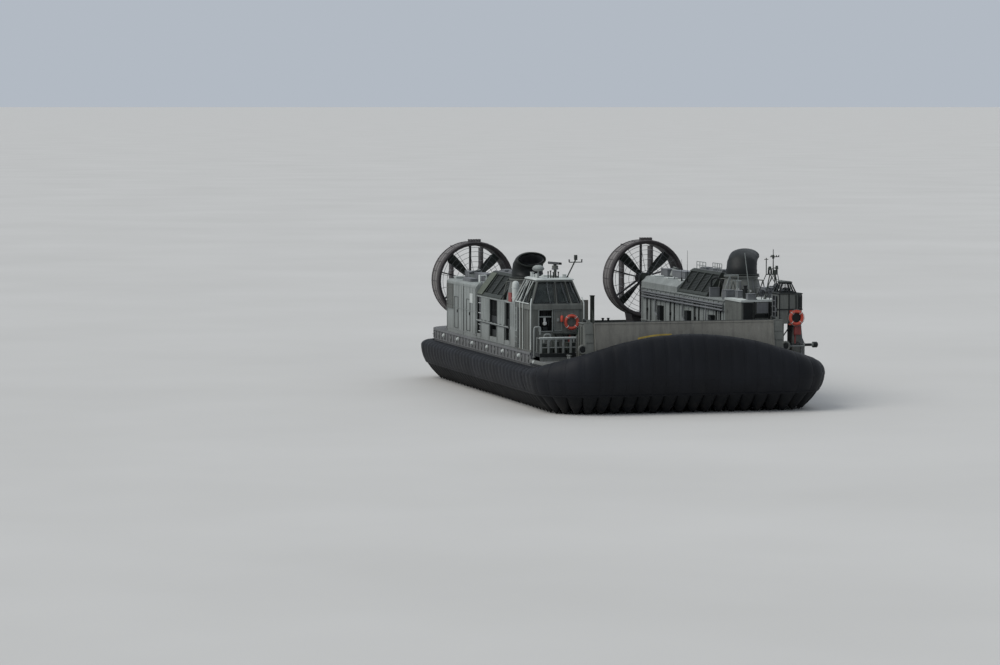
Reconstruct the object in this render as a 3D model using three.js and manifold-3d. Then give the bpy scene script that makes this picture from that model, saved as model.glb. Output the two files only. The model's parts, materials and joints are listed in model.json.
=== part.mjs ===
// Landing hovercraft: a flat cargo deck between two rows of cabins and machinery, on an inflated skirt.
// Millimetres. +X is the bow, +Y is port, +Z is up. The origin is on the ground under the middle.

import * as THREE from 'three';
import { mergeVertices } from 'three/addons/utils/BufferGeometryUtils.js';
import Module from 'manifold-3d';

const wasm = await Module();
wasm.setup();

// Driving dimensions

const GAP = 0.3; // between pieces that touch
const RUNNING = 10; // between a moving piece and its neighbour
const WALL = 60; // cabin and machinery walls

const HULL = { halfLength: 12350, halfBeam: 6550, corner: 1900, bottom: 1250, top: 2660 };
const FOREDECK = { aft: 8600, top: 2350 };
const DECK = { top: 2700, plate: 40, halfWidth: 3920, slopeStart: 10600, slopeEnd: 12050, slopeFoot: 1990 };
const SIDE = { outer: 6500, inner: 3950, base: HULL.top + GAP };

const SKIRT = {
  sideEnd: 9200, // where the side bags meet the bow and stern bags
  widest: 1750,
  bottom: 860,
  clear: 20,
  tuck: 300, // how far the bag reaches in under the hull
  sideRidge: 2050,
  sideCrown: 80,
  sideBulge: 610,
};
const FINGER = { pitch: 620, rake: 770, thickness: 300, bump: 110, steps: 3 };

const BOW_RAMP = { x: 12150, z: 1950, length: 2310, width: 8780, thickness: 120, lean: 10 };
const STERN_RAMP = { x: -12330, z: 2760, length: 1150, width: 4600, thickness: 100 };

const CABIN = { aft: 5940, fore: 8450, sill: 4890, head: 6030, lean: 400, aftLean: 150 };
const BROW = { low: 4680, reach: 60 }; // the band under the control cabin's windows
const BAY = { x: 8180, y: [-6100, -5460], z: [3660, 4660], wall: 40 }; // sunk in the cabin's front
const DOOR = { x: 6300, width: 800, bottom: 2760, top: 4600, thickness: WALL, hinge: 25 };
const PORT_CABIN = { aft: 5940, fore: 8400, top: 4880, slantRun: 1300, slantRise: 520 };
const LOOKOUT = { aft: 9400, fore: 10400, inner: 5140, outer: 6290, floor: 3950, top: 5400, wall: 45 };
const CUPOLA = {
  aft: 9480,
  fore: 10380,
  inner: 5150,
  outer: 6040,
  sill: LOOKOUT.top,
  head: 5890,
  lean: 210,
};

const FAN_MODULE = { aft: -1810, fore: 5930, top: 4850 };
const INTAKE = { aft: -1800, fore: 2880, top: 6030, topOuter: 5650, topInner: 4750 };
const ENGINE_MODULE = { aft: -7970, fore: -1830, top: 5380 };
const TURBINE = { length: 1320, width: 880, height: 890 };

const DUCT = { x: -9200, y: 4660, z: 5160, bore: 1820, outer: 1985, lip: 2050, length: 1600, sides: 40 };
const PROPELLER = { x: -9900, radius: 1785, hub: 300, blades: 4, start: 45 };
const SHAFT_HOUSING = { end: -9100, radius: 240, endRadius: 170 };
const RUDDER = { x: -11150, offset: 800, halfHeight: 1640, fore: 230, aft: 680, thickness: 140 };
const THRUSTER = { x: 3940, y: 5450, base: 1000, neck: 800, flange: 5940, portAim: 150 };

// Materials

function paint(color, roughness = 0.7, metalness = 0.1) {
  return new THREE.MeshStandardMaterial({ color, roughness, metalness });
}

const paints = {
  hull: paint(0x6f7571),
  wall: paint(0x8b918d),
  cabin: paint(0x767d76),
  deck: paint(0x474a4a, 0.9),
  ramp: paint(0x8d8d86),
  duct: paint(0x453f40),
  rubber: paint(0x1b1f24, 0.6, 0),
  fingers: paint(0x23272b, 0.75, 0),
  dark: paint(0x20251f),
  black: paint(0x15181a),
  steel: paint(0x4b4f52, 0.5, 0.6),
  roof: paint(0xb3b8b5),
  orange: paint(0xc8451b, 0.6, 0),
  glass: new THREE.MeshStandardMaterial({
    color: 0x1a2320, roughness: 0.1, metalness: 0, transparent: true, opacity: 0.45,
  }),
};

// Solids

function solidOf(geometry) {
  const bare = geometry.clone();
  bare.deleteAttribute('normal');
  bare.deleteAttribute('uv');
  const merged = mergeVertices(bare, 0.005);
  const corners = merged.index.array;
  const places = merged.attributes.position;
  const corner = (i) => new THREE.Vector3().fromBufferAttribute(places, i);
  const kept = [];
  let volume = 0;
  for (let i = 0; i < corners.length; i += 3) {
    const [a, b, c] = [corners[i], corners[i + 1], corners[i + 2]];
    if (a !== b && b !== c && c !== a) {
      kept.push([a, b, c]);
      volume += corner(a).dot(corner(b).cross(corner(c)));
    }
  }
  const facingOut = volume > 0 ? kept : kept.map(([a, b, c]) => [a, c, b]);
  return new wasm.Manifold(new wasm.Mesh({
    numProp: 3,
    vertProperties: new Float32Array(places.array),
    triVerts: new Uint32Array(facingOut.flat()),
  }));
}

function geometryOf(solid) {
  const mesh = solid.getMesh();
  const geometry = new THREE.BufferGeometry();
  geometry.setAttribute('position', new THREE.BufferAttribute(mesh.vertProperties, 3));
  geometry.setIndex(new THREE.BufferAttribute(mesh.triVerts, 1));
  return geometry;
}

function join(solids) {
  return solids.reduce((whole, next) => whole.add(next));
}

function cut(solid, tools) {
  return solid.subtract(join(tools));
}

function block(x0, x1, y0, y1, z0, z1) {
  const geometry = new THREE.BoxGeometry(x1 - x0, y1 - y0, z1 - z0);
  geometry.translate((x0 + x1) / 2, (y0 + y1) / 2, (z0 + z1) / 2);
  return solidOf(geometry);
}

// An outline pushed along one axis. Its points are (x, y) for axis z, (x, z) for y and (y, z) for x.
function prism(points, axis, from, to) {
  const outline = new THREE.Shape(points.map(([u, v]) => new THREE.Vector2(u, v)));
  const geometry = new THREE.ExtrudeGeometry(outline, { depth: to - from, bevelEnabled: false });
  if (axis === 'z') {
    geometry.translate(0, 0, from);
  } else if (axis === 'y') {
    geometry.rotateX(Math.PI / 2);
    geometry.translate(0, to, 0);
  } else {
    const turn = new THREE.Matrix4().makeBasis(
      new THREE.Vector3(0, 1, 0), new THREE.Vector3(0, 0, 1), new THREE.Vector3(1, 0, 0));
    geometry.applyMatrix4(turn);
    geometry.translate(from, 0, 0);
  }
  return solidOf(geometry);
}

function rod(from, to, radius, sides = 8, endRadius = radius) {
  const start = new THREE.Vector3(...from);
  const end = new THREE.Vector3(...to);
  const geometry = new THREE.CylinderGeometry(endRadius, radius, start.distanceTo(end), sides);
  const up = new THREE.Vector3(0, 1, 0);
  const along = end.clone().sub(start).normalize();
  geometry.applyQuaternion(new THREE.Quaternion().setFromUnitVectors(up, along));
  const middle = start.add(end).multiplyScalar(0.5);
  geometry.translate(middle.x, middle.y, middle.z);
  return solidOf(geometry);
}

// A profile of (radius, x) points turned about a line along X at the given y and z.
function turnedAboutX(profile, sides, y, z) {
  const points = profile.map(([radius, x]) => new THREE.Vector2(radius, x));
  const geometry = new THREE.LatheGeometry(points, sides);
  geometry.rotateZ(-Math.PI / 2);
  geometry.translate(0, y, z);
  return solidOf(geometry);
}

// A profile of (radius, z) points turned about the Z axis.
function turnedAboutZ(profile, sides) {
  const points = profile.map(([radius, z]) => new THREE.Vector2(radius, z));
  const geometry = new THREE.LatheGeometry(points, sides);
  geometry.rotateX(Math.PI / 2);
  return solidOf(geometry);
}

// The two end faces of a loft, cut into triangles in the plane of each ring.
function capTriangles(ring) {
  const normal = new THREE.Vector3();
  ring.forEach((point, i) => {
    const next = ring[(i + 1) % ring.length];
    normal.x += (point[1] - next[1]) * (point[2] + next[2]);
    normal.y += (point[2] - next[2]) * (point[0] + next[0]);
    normal.z += (point[0] - next[0]) * (point[1] + next[1]);
  });
  normal.normalize();
  const spare = Math.abs(normal.z) < 0.9 ? new THREE.Vector3(0, 0, 1) : new THREE.Vector3(1, 0, 0);
  const u = spare.cross(normal).normalize();
  const v = normal.clone().cross(u);
  const flat = ring.map((point) => {
    const place = new THREE.Vector3(...point);
    return new THREE.Vector2(place.dot(u), place.dot(v));
  });
  return THREE.ShapeUtils.triangulateShape(flat, []).map(([a, b, c]) => {
    const area = (flat[b].x - flat[a].x) * (flat[c].y - flat[a].y)
      - (flat[c].x - flat[a].x) * (flat[b].y - flat[a].y);
    return area > 0 ? [a, b, c] : [a, c, b];
  });
}

// A closed skin through rings of (x, y, z) points, all with the same number of points.
function loft(rings) {
  const count = rings[0].length;
  const triangles = [];
  for (let i = 0; i < rings.length - 1; i++) {
    for (let k = 0; k < count; k++) {
      const a = i * count + k;
      const b = i * count + (k + 1) % count;
      triangles.push([a, b, b + count], [a, b + count, a + count]);
    }
  }
  capTriangles(rings[0]).forEach(([a, b, c]) => triangles.push([a, c, b]));
  const last = (rings.length - 1) * count;
  capTriangles(rings[rings.length - 1]).forEach(([a, b, c]) => {
    triangles.push([last + a, last + b, last + c]);
  });
  const geometry = new THREE.BufferGeometry();
  geometry.setAttribute('position', new THREE.Float32BufferAttribute(rings.flat(2), 3));
  geometry.setIndex(triangles.flat());
  return solidOf(geometry);
}

// The craft

const craft = new THREE.Group();

function add(name, solid, material, parent = craft) {
  const mesh = new THREE.Mesh(geometryOf(solid), material);
  mesh.name = name;
  parent.add(mesh);
  return mesh;
}

// One solid on each side: as drawn to starboard, and mirrored to port.
function addPair(name, solid, material) {
  add(`${name}_starboard`, solid, material);
  const port = add(`${name}_port`, solid, material);
  port.scale.y = -1;
}

// Hull

function hullPlan() {
  const plan = new THREE.Shape();
  const { halfLength: length, halfBeam: beam, corner } = HULL;
  const centres = [[length, beam, 0], [-length, beam, 1], [-length, -beam, 2], [length, -beam, 3]];
  centres.forEach(([x, y, quarter]) => {
    const start = quarter * Math.PI / 2;
    plan.absarc(x - Math.sign(x) * corner, y - Math.sign(y) * corner, corner, start, start + Math.PI / 2);
  });
  return plan.getPoints(2).map((point) => [point.x, point.y]);
}

function makeHull() {
  const body = prism(hullPlan(), 'z', HULL.bottom, HULL.top);
  const bowWell = prism([
    [DECK.slopeStart, HULL.top + 1],
    [DECK.slopeStart, HULL.top],
    [DECK.slopeEnd, DECK.slopeFoot - DECK.plate - GAP],
    [DECK.slopeEnd, BOW_RAMP.z - BOW_RAMP.thickness / 2 - 3 * RUNNING],
    [HULL.halfLength + 1, BOW_RAMP.z - BOW_RAMP.thickness / 2 - 3 * RUNNING],
    [HULL.halfLength + 1, HULL.top + 1],
  ], 'y', -BOW_RAMP.width / 2 - 2 * RUNNING, BOW_RAMP.width / 2 + 2 * RUNNING);
  const cornerStart = BOW_RAMP.width / 2 + 2 * RUNNING;
  const corners = [-1, 1].map((side) => {
    const [low, high] = [side * cornerStart, side * (HULL.halfBeam + 1)].sort((a, b) => a - b);
    return block(FOREDECK.aft, HULL.halfLength + 1, low, high, FOREDECK.top, HULL.top + 1);
  });
  return cut(body, [bowWell, ...corners]);
}

add('hull', makeHull(), paints.hull);

function makeCargoDeck() {
  return prism([
    [-HULL.halfLength + 40, HULL.top + GAP],
    [DECK.slopeStart, HULL.top + GAP],
    [DECK.slopeEnd, DECK.slopeFoot - DECK.plate],
    [DECK.slopeEnd, DECK.slopeFoot],
    [DECK.slopeStart, DECK.top],
    [-HULL.halfLength + 40, DECK.top],
  ], 'y', -DECK.halfWidth, DECK.halfWidth);
}

add('cargo_deck', makeCargoDeck(), paints.deck);

function makeLandingSkid() {
  const [length, slope, foot] = [8000, 400, 950];
  const top = HULL.bottom - GAP;
  return prism([[-length, top], [-length + slope, foot], [length - slope, foot], [length, top]],
    'y', -3200, -2600);
}

addPair('landing_skid', makeLandingSkid(), paints.steel);

// Skirt

// Stations from the middle of the bow round to the straight side. A station has a place on the hull's
// edge, given by y across the front, by the corner's turn in degrees, or by x along the side, and the
// height of the bag's ridge, how far it bulges, and how far outside the edge its ridge lies.
const BOW_STATIONS = [
  { y: 0, ridge: 3700, bulge: 960, crown: 300 },
  { y: 1600, ridge: 3600, bulge: 960, crown: 300 },
  { y: 3200, ridge: 3340, bulge: 955, crown: 290 },
  { turn: 0, ridge: 2940, bulge: 940, crown: 270 },
  { turn: 22.5, ridge: 2700, bulge: 890, crown: 230 },
  { turn: 45, ridge: 2480, bulge: 810, crown: 180 },
  { turn: 67.5, ridge: 2280, bulge: 710, crown: 130 },
  { turn: 90, ridge: 2120, bulge: SKIRT.sideBulge, crown: 95 },
  { x: SKIRT.sideEnd, ridge: SKIRT.sideRidge, bulge: SKIRT.sideBulge, crown: SKIRT.sideCrown },
];

function placeStation(station) {
  const centre = { x: HULL.halfLength - HULL.corner, y: HULL.halfBeam - HULL.corner };
  if (station.y !== undefined) {
    return { ...station, place: [HULL.halfLength, station.y], out: [1, 0] };
  }
  if (station.x !== undefined) {
    return { ...station, place: [station.x, HULL.halfBeam], out: [0, 1] };
  }
  const turn = THREE.MathUtils.degToRad(station.turn);
  const out = [Math.cos(turn), Math.sin(turn)];
  return { ...station, out, place: [centre.x + HULL.corner * out[0], centre.y + HULL.corner * out[1]] };
}

// All stations round one end, from port to starboard. The stern has the low ridge of the sides.
function endStations(end) {
  const half = BOW_STATIONS.map(placeStation).map((station) => ({
    ...station,
    ridge: end > 0 ? station.ridge : SKIRT.sideRidge,
    crown: end > 0 ? station.crown : SKIRT.sideCrown,
    place: [end * station.place[0], station.place[1]],
    out: [end * station.out[0], station.out[1]],
  }));
  const mirrored = half.slice(1).map((station) => ({
    ...station,
    place: [station.place[0], -station.place[1]],
    out: [station.out[0], -station.out[1]],
  }));
  return [...half.slice().reverse(), ...mirrored];
}

// The part of a bag's section above its widest height, from the inner side over the ridge and out.
function upperSection({ ridge, bulge, crown }) {
  const drop = crown * 0.8;
  const points = [
    [SKIRT.clear, ridge - drop],
    [SKIRT.clear + (crown - SKIRT.clear) * 0.35, ridge - drop * 0.3],
    [crown, ridge],
  ];
  for (const angle of [25, 50, 72]) {
    const turn = THREE.MathUtils.degToRad(angle);
    points.push([
      crown + (bulge - crown) * Math.sin(turn),
      SKIRT.widest + (ridge - SKIRT.widest) * Math.cos(turn),
    ]);
  }
  return points;
}

// The part below the widest height, from the outer side down and in under the hull.
function lowerSection({ bulge }) {
  const [foot, steps] = [THREE.MathUtils.degToRad(53.13), 4];
  const points = [];
  for (let i = 0; i <= steps; i++) {
    const turn = foot * i / steps;
    const drop = (SKIRT.widest - SKIRT.bottom) * Math.sin(turn) / Math.sin(foot);
    points.push([bulge * Math.cos(turn), SKIRT.widest - drop]);
  }
  points.push([-SKIRT.tuck, SKIRT.bottom], [-SKIRT.tuck, HULL.bottom - 2 * RUNNING]);
  points.push([SKIRT.clear, HULL.bottom - 2 * RUNNING]);
  return points;
}

function placed({ place, out }, section) {
  return section.map(([offset, z]) => [place[0] + out[0] * offset, place[1] + out[1] * offset, z]);
}

function makeBowBag() {
  return loft(endStations(1).map((station) => placed(station, [
    ...lowerSection(station),
    [SKIRT.clear, SKIRT.widest],
  ])));
}

function makeBowRoll() {
  const base = SKIRT.widest + GAP;
  return loft(endStations(1).map((station) => placed(station, [
    [SKIRT.clear, base],
    ...upperSection(station),
    [station.bulge, base],
  ])));
}

function makeSternBag() {
  return loft(endStations(-1).map((station) => placed(station, [
    ...lowerSection(station),
    ...upperSection(station),
  ])));
}

function makeSideBag() {
  const station = { ridge: SKIRT.sideRidge, bulge: SKIRT.sideBulge, crown: SKIRT.sideCrown };
  const section = [...lowerSection(station), ...upperSection(station)];
  const points = section.map(([offset, z]) => [-HULL.halfBeam - offset, z]).reverse();
  return prism(points, 'x', -SKIRT.sideEnd + GAP, SKIRT.sideEnd - GAP);
}

add('skirt_bag_bow', makeBowBag(), paints.rubber);
add('skirt_bow_roll', makeBowRoll(), paints.rubber);
add('skirt_bag_stern', makeSternBag(), paints.rubber);
addPair('skirt_bag', makeSideBag(), paints.rubber);

// A row of fingers along stations: each stands out as a shallow bow from the row's straight edge.
function makeFingers(stations) {
  const outline = { top: { outer: [], inner: [] }, foot: { outer: [], inner: [] } };
  const mark = (list, place, out, offset, z) => {
    list.push([place[0] + out[0] * offset, place[1] + out[1] * offset, z]);
  };
  const between = (a, b, t) => a.map((value, i) => value + (b[i] - value) * t);
  stations.slice(1).forEach((end, i) => {
    const start = stations[i];
    const span = Math.hypot(end.place[0] - start.place[0], end.place[1] - start.place[1]);
    const fingers = Math.max(1, Math.round(span / FINGER.pitch));
    const last = i === stations.length - 2 ? fingers * FINGER.steps : fingers * FINGER.steps - 1;
    for (let k = 0; k <= last; k++) {
      const t = k / (fingers * FINGER.steps);
      const place = between(start.place, end.place, t);
      const out = between(start.out, end.out, t);
      const bump = k % FINGER.steps === 0 ? 0 : FINGER.bump;
      const top = 0.6 * (start.bulge + (end.bulge - start.bulge) * t) - FINGER.bump;
      mark(outline.top.outer, place, out, top + bump, SKIRT.bottom - GAP);
      mark(outline.foot.outer, place, out, top + bump - FINGER.rake, 0);
      if (k % FINGER.steps === 0) {
        mark(outline.top.inner, place, out, -SKIRT.tuck + 50, SKIRT.bottom - GAP);
        mark(outline.foot.inner, place, out, top - FINGER.rake - FINGER.thickness, 0);
      }
    }
  });
  const ring = ({ outer, inner }) => [...outer, ...inner.reverse()];
  return loft([ring(outline.foot), ring(outline.top)]);
}

function sideStations() {
  const reach = SKIRT.sideEnd - GAP;
  return [reach, -reach].map((x) => ({ place: [x, -HULL.halfBeam], out: [0, -1], bulge: SKIRT.sideBulge }));
}

add('skirt_fingers_bow', makeFingers(endStations(1)), paints.fingers);
add('skirt_fingers_stern', makeFingers(endStations(-1)), paints.fingers);
addPair('skirt_fingers', makeFingers(sideStations()), paints.fingers);

// Ramps, each drawn with its hinge along Y at the origin and its leaf standing up

function makeRamp({ length, width, thickness }) {
  const half = thickness / 2;
  const leaf = block(-half, half, -width / 2, width / 2, 0, length);
  const edge = rod([0, -width / 2, 0], [0, width / 2, 0], half, 12);
  return join([leaf, edge]);
}

const bowRamp = add('bow_ramp', makeRamp(BOW_RAMP), paints.ramp);
bowRamp.position.set(BOW_RAMP.x, 0, BOW_RAMP.z);
bowRamp.rotation.y = -THREE.MathUtils.degToRad(BOW_RAMP.lean);

const sternRamp = add('stern_ramp', makeRamp(STERN_RAMP), paints.ramp);
sternRamp.position.set(STERN_RAMP.x, 0, STERN_RAMP.z);

// A bulwark with a round fairlead for ropes on its outer front corner.
function makeBulwark() {
  const [thickness, aft, top, aftTop] = [420, 10500, 4180, 3300];
  const inner = BOW_RAMP.width / 2 + 2 * RUNNING;
  const foot = BOW_RAMP.x - 60;
  const slope = Math.tan(THREE.MathUtils.degToRad(BOW_RAMP.lean));
  const plate = prism([
    [aft, FOREDECK.top + GAP],
    [foot, FOREDECK.top + GAP],
    [foot - (top - FOREDECK.top) * slope, top],
    [aft + 450, top],
    [aft, aftTop],
  ], 'y', -inner - thickness, -inner);
  const [fairleadZ, reach, rope] = [3000, 190, 55];
  const ring = new THREE.TorusGeometry(reach, rope, 8, 20);
  ring.rotateY(Math.PI / 2);
  ring.translate(foot - (fairleadZ - FOREDECK.top) * slope - rope, -inner - thickness - 120, fairleadZ);
  return join([plate, solidOf(ring)]);
}

addPair('bow_bulwark', makeBulwark(), paints.cabin);

// Foredeck gear

// To starboard a walkway stands over the foredeck, with a rack of posts along its fore edge.
function makeForedeckRack() {
  const [aft, fore, outer, inner] = [8700, 9950, -6450, -4550];
  const floor = { low: 2600, high: 2700 };
  const [middle, head, bar] = [2960, 3360, 80];
  const walkway = block(aft, fore, outer, inner, floor.low, floor.high);
  const bearers = [outer, (outer + inner) / 2 - 60, inner - 120].map((y) => {
    return block(aft + 40, fore - 40, y, y + 120, FOREDECK.top + GAP, floor.low + 1);
  });
  const count = 6;
  const posts = [];
  for (let i = 0; i < count; i++) {
    const y = outer + 50 + (inner - outer - 100) * i / (count - 1);
    posts.push(block(fore - 70, fore - 10, y - 45, y + 45, floor.high - 1, head + 1));
  }
  const bars = [
    block(fore - 80, fore, outer, inner, head, head + bar),
    block(fore - 60, fore - 20, outer + 10, inner - 10, middle, middle + 50),
  ];
  const ends = [outer + 50, inner - 50].flatMap((y) => [
    rod([aft + 500, y, floor.high - 1], [aft + 500, y, head + bar / 2], 30, 8),
    rod([aft + 500, y, head + bar / 2], [fore - 40, y, head + bar / 2], 25, 8),
  ]);
  return join([walkway, ...bearers, ...posts, ...bars, ...ends]);
}

add('foredeck_rack', makeForedeckRack(), paints.wall);

// To port a small stand holds an arm that points out over the side, with a round head.
function makeForedeckArm() {
  const [x, half, inner, outer, top] = [11150, 250, 5020, 6120, 2990];
  const plate = block(x - half, x + half, inner, outer, top - 60, top);
  const legs = [x - half + 50, x + half - 50].flatMap((legX) => [inner + 50, outer - 50].map((y) => {
    return rod([legX, y, FOREDECK.top + GAP], [legX, y, top - 30], 35, 8);
  }));
  const arm = rod([x, outer - 800, top], [x, outer + 500, top], 60, 12);
  const head = rod([x, outer + 440, top], [x, outer + 660, top], 125, 14);
  return join([plate, ...legs, arm, head]);
}

add('foredeck_arm', makeForedeckArm(), paints.wall);

// Cabins

// The four corners of a cabin that leans in from its sill to its head, at a height, drawn in by a depth.
function cabinRing(room, z, depth) {
  const rise = Math.max(0, (z - room.sill) / (room.head - room.sill));
  const aft = room.aft + rise * room.aftLean + depth;
  const fore = room.fore - rise * room.foreLean - depth;
  const outer = room.outer - rise * room.lean - depth;
  const inner = room.inner + rise * room.lean + depth;
  return [[aft, -outer, z], [fore, -outer, z], [fore, -inner, z], [aft, -inner, z]];
}

const controlRoom = {
  ...CABIN, outer: SIDE.outer, inner: SIDE.inner, foreLean: CABIN.lean,
};

// Windows in the leaning band: tools that cut a row of openings through one side. The shares say where
// along the side the row's posts stand, from 0 to 1.
function windowTools(room, side, shares, border, reach) {
  const low = room.sill + border;
  const high = room.head - border;
  const corners = { low: cabinRing(room, low, 0), high: cabinRing(room, high, 0) };
  const across = side === 'fore' || side === 'aft';
  const ends = across ? [1, 2] : [0, 1];
  const axis = across ? 1 : 0;
  const span = (ring) => [ring[ends[0]][axis] + border, ring[ends[1]][axis] - border];
  const [lowSpan, highSpan] = [span(corners.low), span(corners.high)];
  const at = ([start, end], t) => start + (end - start) * t;
  const wall = {
    fore: [room.fore - room.foreLean - reach, room.fore + 10],
    aft: [room.aft - 10, room.aft + room.aftLean + reach],
    outer: [-room.outer - 10, -room.outer + room.lean + reach],
    inner: [-room.inner - room.lean - reach, -room.inner + 10],
  }[side];
  const halfPost = border * 0.6 / (highSpan[1] - highSpan[0]);
  return shares.slice(1).map((share, i) => {
    const start = shares[i] + (shares[i] > 0 ? halfPost : 0);
    const end = share - (share < 1 ? halfPost : 0);
    return prism([
      [at(lowSpan, start), low],
      [at(lowSpan, end), low],
      [at(highSpan, end), high],
      [at(highSpan, start), high],
    ], across ? 'x' : 'y', wall[0], wall[1]);
  });
}

function doorway(y0, y1) {
  const far = DOOR.x + DOOR.width + 2 * RUNNING;
  return block(DOOR.x, far, y0, y1, DOOR.bottom - RUNNING, DOOR.top + RUNNING);
}

function makeControlWalls() {
  const { reach } = BROW;
  const shell = join([
    block(CABIN.aft, CABIN.fore, -SIDE.outer, -SIDE.inner, SIDE.base, CABIN.sill),
    block(CABIN.aft, CABIN.fore + reach, -SIDE.outer - reach, -SIDE.inner + reach, BROW.low, CABIN.sill),
  ]);
  const [aft, fore] = [CABIN.aft + WALL, CABIN.fore - WALL];
  const [outer, inner] = [-SIDE.outer + WALL, -SIDE.inner - WALL];
  const walls = cut(shell, [
    block(aft, fore, outer, inner, SIDE.base - 1, CABIN.sill + 1),
    doorway(-SIDE.inner - WALL - 1, -SIDE.inner + 1),
  ]);
  const { x, y, z, wall } = BAY;
  const lining = block(x - wall, fore + 1, y[0] - wall, y[1] + wall, z[0] - wall, z[1] + wall);
  return cut(join([walls, lining]), [block(x, CABIN.fore + 1, ...y, ...z)]);
}

function makeWindowFrame(room, sides, border, wall) {
  const [low, high] = [room.sill + GAP, room.head];
  const outside = loft([cabinRing(room, low, 0), cabinRing(room, high, 0)]);
  const inside = loft([cabinRing(room, low - 1, wall), cabinRing(room, high + 1, wall)]);
  const tools = sides.flatMap(([side, shares]) => windowTools(room, side, shares, border, wall * 2));
  return cut(outside, [inside, ...tools]);
}

function makeGlassRing(room) {
  const [low, high, pane] = [room.sill + 2 * GAP, room.head - GAP, 15];
  const outside = loft([cabinRing(room, low, WALL + GAP), cabinRing(room, high, WALL + GAP)]);
  const inside = loft([
    cabinRing(room, low - 1, WALL + pane), cabinRing(room, high + 1, WALL + pane),
  ]);
  return cut(outside, [inside]);
}

function makeRoof(room, thickness, overhang) {
  const base = room.head + GAP;
  const ring = (depth, z) => cabinRing(room, room.head, depth).map(([x, y]) => [x, y, z]);
  return loft([
    ring(-overhang, base),
    ring(-overhang, base + thickness * 0.6),
    ring(-overhang + thickness, base + thickness),
  ]);
}

add('control_cabin_walls', makeControlWalls(), paints.cabin);
const CONTROL_WINDOWS = [
  ['fore', [0, 0.5, 0.81, 1]],
  ['outer', [0, 0.33, 0.67, 1]],
  ['inner', [0, 0.33, 0.67, 1]],
  ['aft', [0, 0.5, 1]],
];
add('control_cabin_window_frame', makeWindowFrame(controlRoom, CONTROL_WINDOWS, 90, WALL), paints.cabin);
add('control_cabin_glass', makeGlassRing(controlRoom), paints.glass);
add('control_cabin_roof', makeRoof(controlRoom, 110, 40), paints.roof);

// The port cabin's outline seen from above, its outer front corner cut off at a slant.
function portCabinOutline(inset) {
  const { aft, fore, slantRun, slantRise } = PORT_CABIN;
  const slant = Math.hypot(slantRun, slantRise);
  const [forward, outward] = [slantRise / slant, slantRun / slant]; // the way the slant faces
  return [
    [aft + inset, SIDE.inner + inset],
    [fore - inset, SIDE.inner + inset],
    [fore - inset, SIDE.outer - slantRise - inset * (1 - forward) / outward],
    [fore - slantRun - inset * (1 - outward) / forward, SIDE.outer - inset],
    [aft + inset, SIDE.outer - inset],
  ];
}

function makePortCabinWalls() {
  const { top } = PORT_CABIN;
  return cut(prism(portCabinOutline(0), 'z', SIDE.base, top), [
    prism(portCabinOutline(WALL), 'z', SIDE.base - 1, top + 1),
    doorway(SIDE.inner - 1, SIDE.inner + WALL + 1),
  ]);
}

add('port_cabin_walls', makePortCabinWalls(), paints.cabin);
add('port_cabin_roof',
  block(PORT_CABIN.aft, PORT_CABIN.fore + 60, SIDE.inner - 40, SIDE.outer, PORT_CABIN.top + GAP,
    PORT_CABIN.top + 100),
  paints.roof);

// A door drawn with its hinge line along Z at the origin. It closes along +X, in the wall behind it.
function makeDoor() {
  const [near, far] = [16, 16 + DOOR.width - 6];
  const leaf = block(near, far, -DOOR.hinge - DOOR.thickness, -DOOR.hinge, DOOR.bottom, DOOR.top);
  const knuckles = [0.15, 0.5, 0.85].map((share) => {
    const z = DOOR.bottom + (DOOR.top - DOOR.bottom) * share;
    return join([
      rod([0, 0, z - 80], [0, 0, z + 80], 16),
      block(0, near + 60, -DOOR.hinge + 5, -5, z - 60, z + 60),
      block(near + 5, near + 60, -DOOR.hinge - 5, -5, z - 60, z + 60),
    ]);
  });
  return join([leaf, ...knuckles]);
}

const HINGE_X = DOOR.x - 10;
const controlDoor = add('control_cabin_door', makeDoor(), paints.cabin);
controlDoor.position.set(HINGE_X, -SIDE.inner + DOOR.hinge, 0);
const portDoor = add('port_cabin_door', makeDoor(), paints.cabin);
portDoor.position.set(HINGE_X, SIDE.inner - DOOR.hinge, 0);
portDoor.scale.y = -1;

// Lookout: a cab on two pillars on the port foredeck, with a glazed cupola on top. It is drawn to
// starboard and mirrored.
const cupola = { ...CUPOLA, aftLean: CUPOLA.lean * 0.7, foreLean: CUPOLA.lean * 0.7 };
const CUPOLA_WINDOWS = [
  ['fore', [0, 1]],
  ['outer', [0, 0.5, 1]],
  ['inner', [0, 0.5, 1]],
  ['aft', [0, 1]],
];

function makeLookoutCab() {
  const { aft, fore, inner, outer, floor, top, wall } = LOOKOUT;
  const body = block(aft, fore, -outer, -inner, floor, top);
  const room = block(aft + wall, fore - wall, -outer + wall, -inner - wall, floor + wall, top - wall);
  const hatch = loft([top - wall - 1, top + 1].map((z) => cabinRing(cupola, z, wall)));
  const pillars = [[inner + 20, inner + 290], [outer - 410, outer - 20]].map(([near, far]) => {
    return block(aft + 100, fore - 100, -far, -near, FOREDECK.top + GAP, floor + 1);
  });
  const middle = (aft + fore) / 2;
  const brace = rod([middle, -inner - 270, 3150], [middle, -outer + 390, 3850], 30, 6);
  return join([cut(body, [room, hatch]), ...pillars, brace]);
}

function makeLookoutGlass() {
  const pane = { low: CUPOLA.sill + 20, high: CUPOLA.head - GAP, depth: LOOKOUT.wall + GAP };
  const outside = loft([
    cabinRing(cupola, pane.low, pane.depth), cabinRing(cupola, pane.high, pane.depth),
  ]);
  const inside = loft([
    cabinRing(cupola, pane.low - 1, pane.depth + 12),
    cabinRing(cupola, pane.high + 1, pane.depth + 12),
  ]);
  return cut(outside, [inside]);
}

function addToPort(name, solid, material) {
  add(name, solid, material).scale.y = -1;
}

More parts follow.
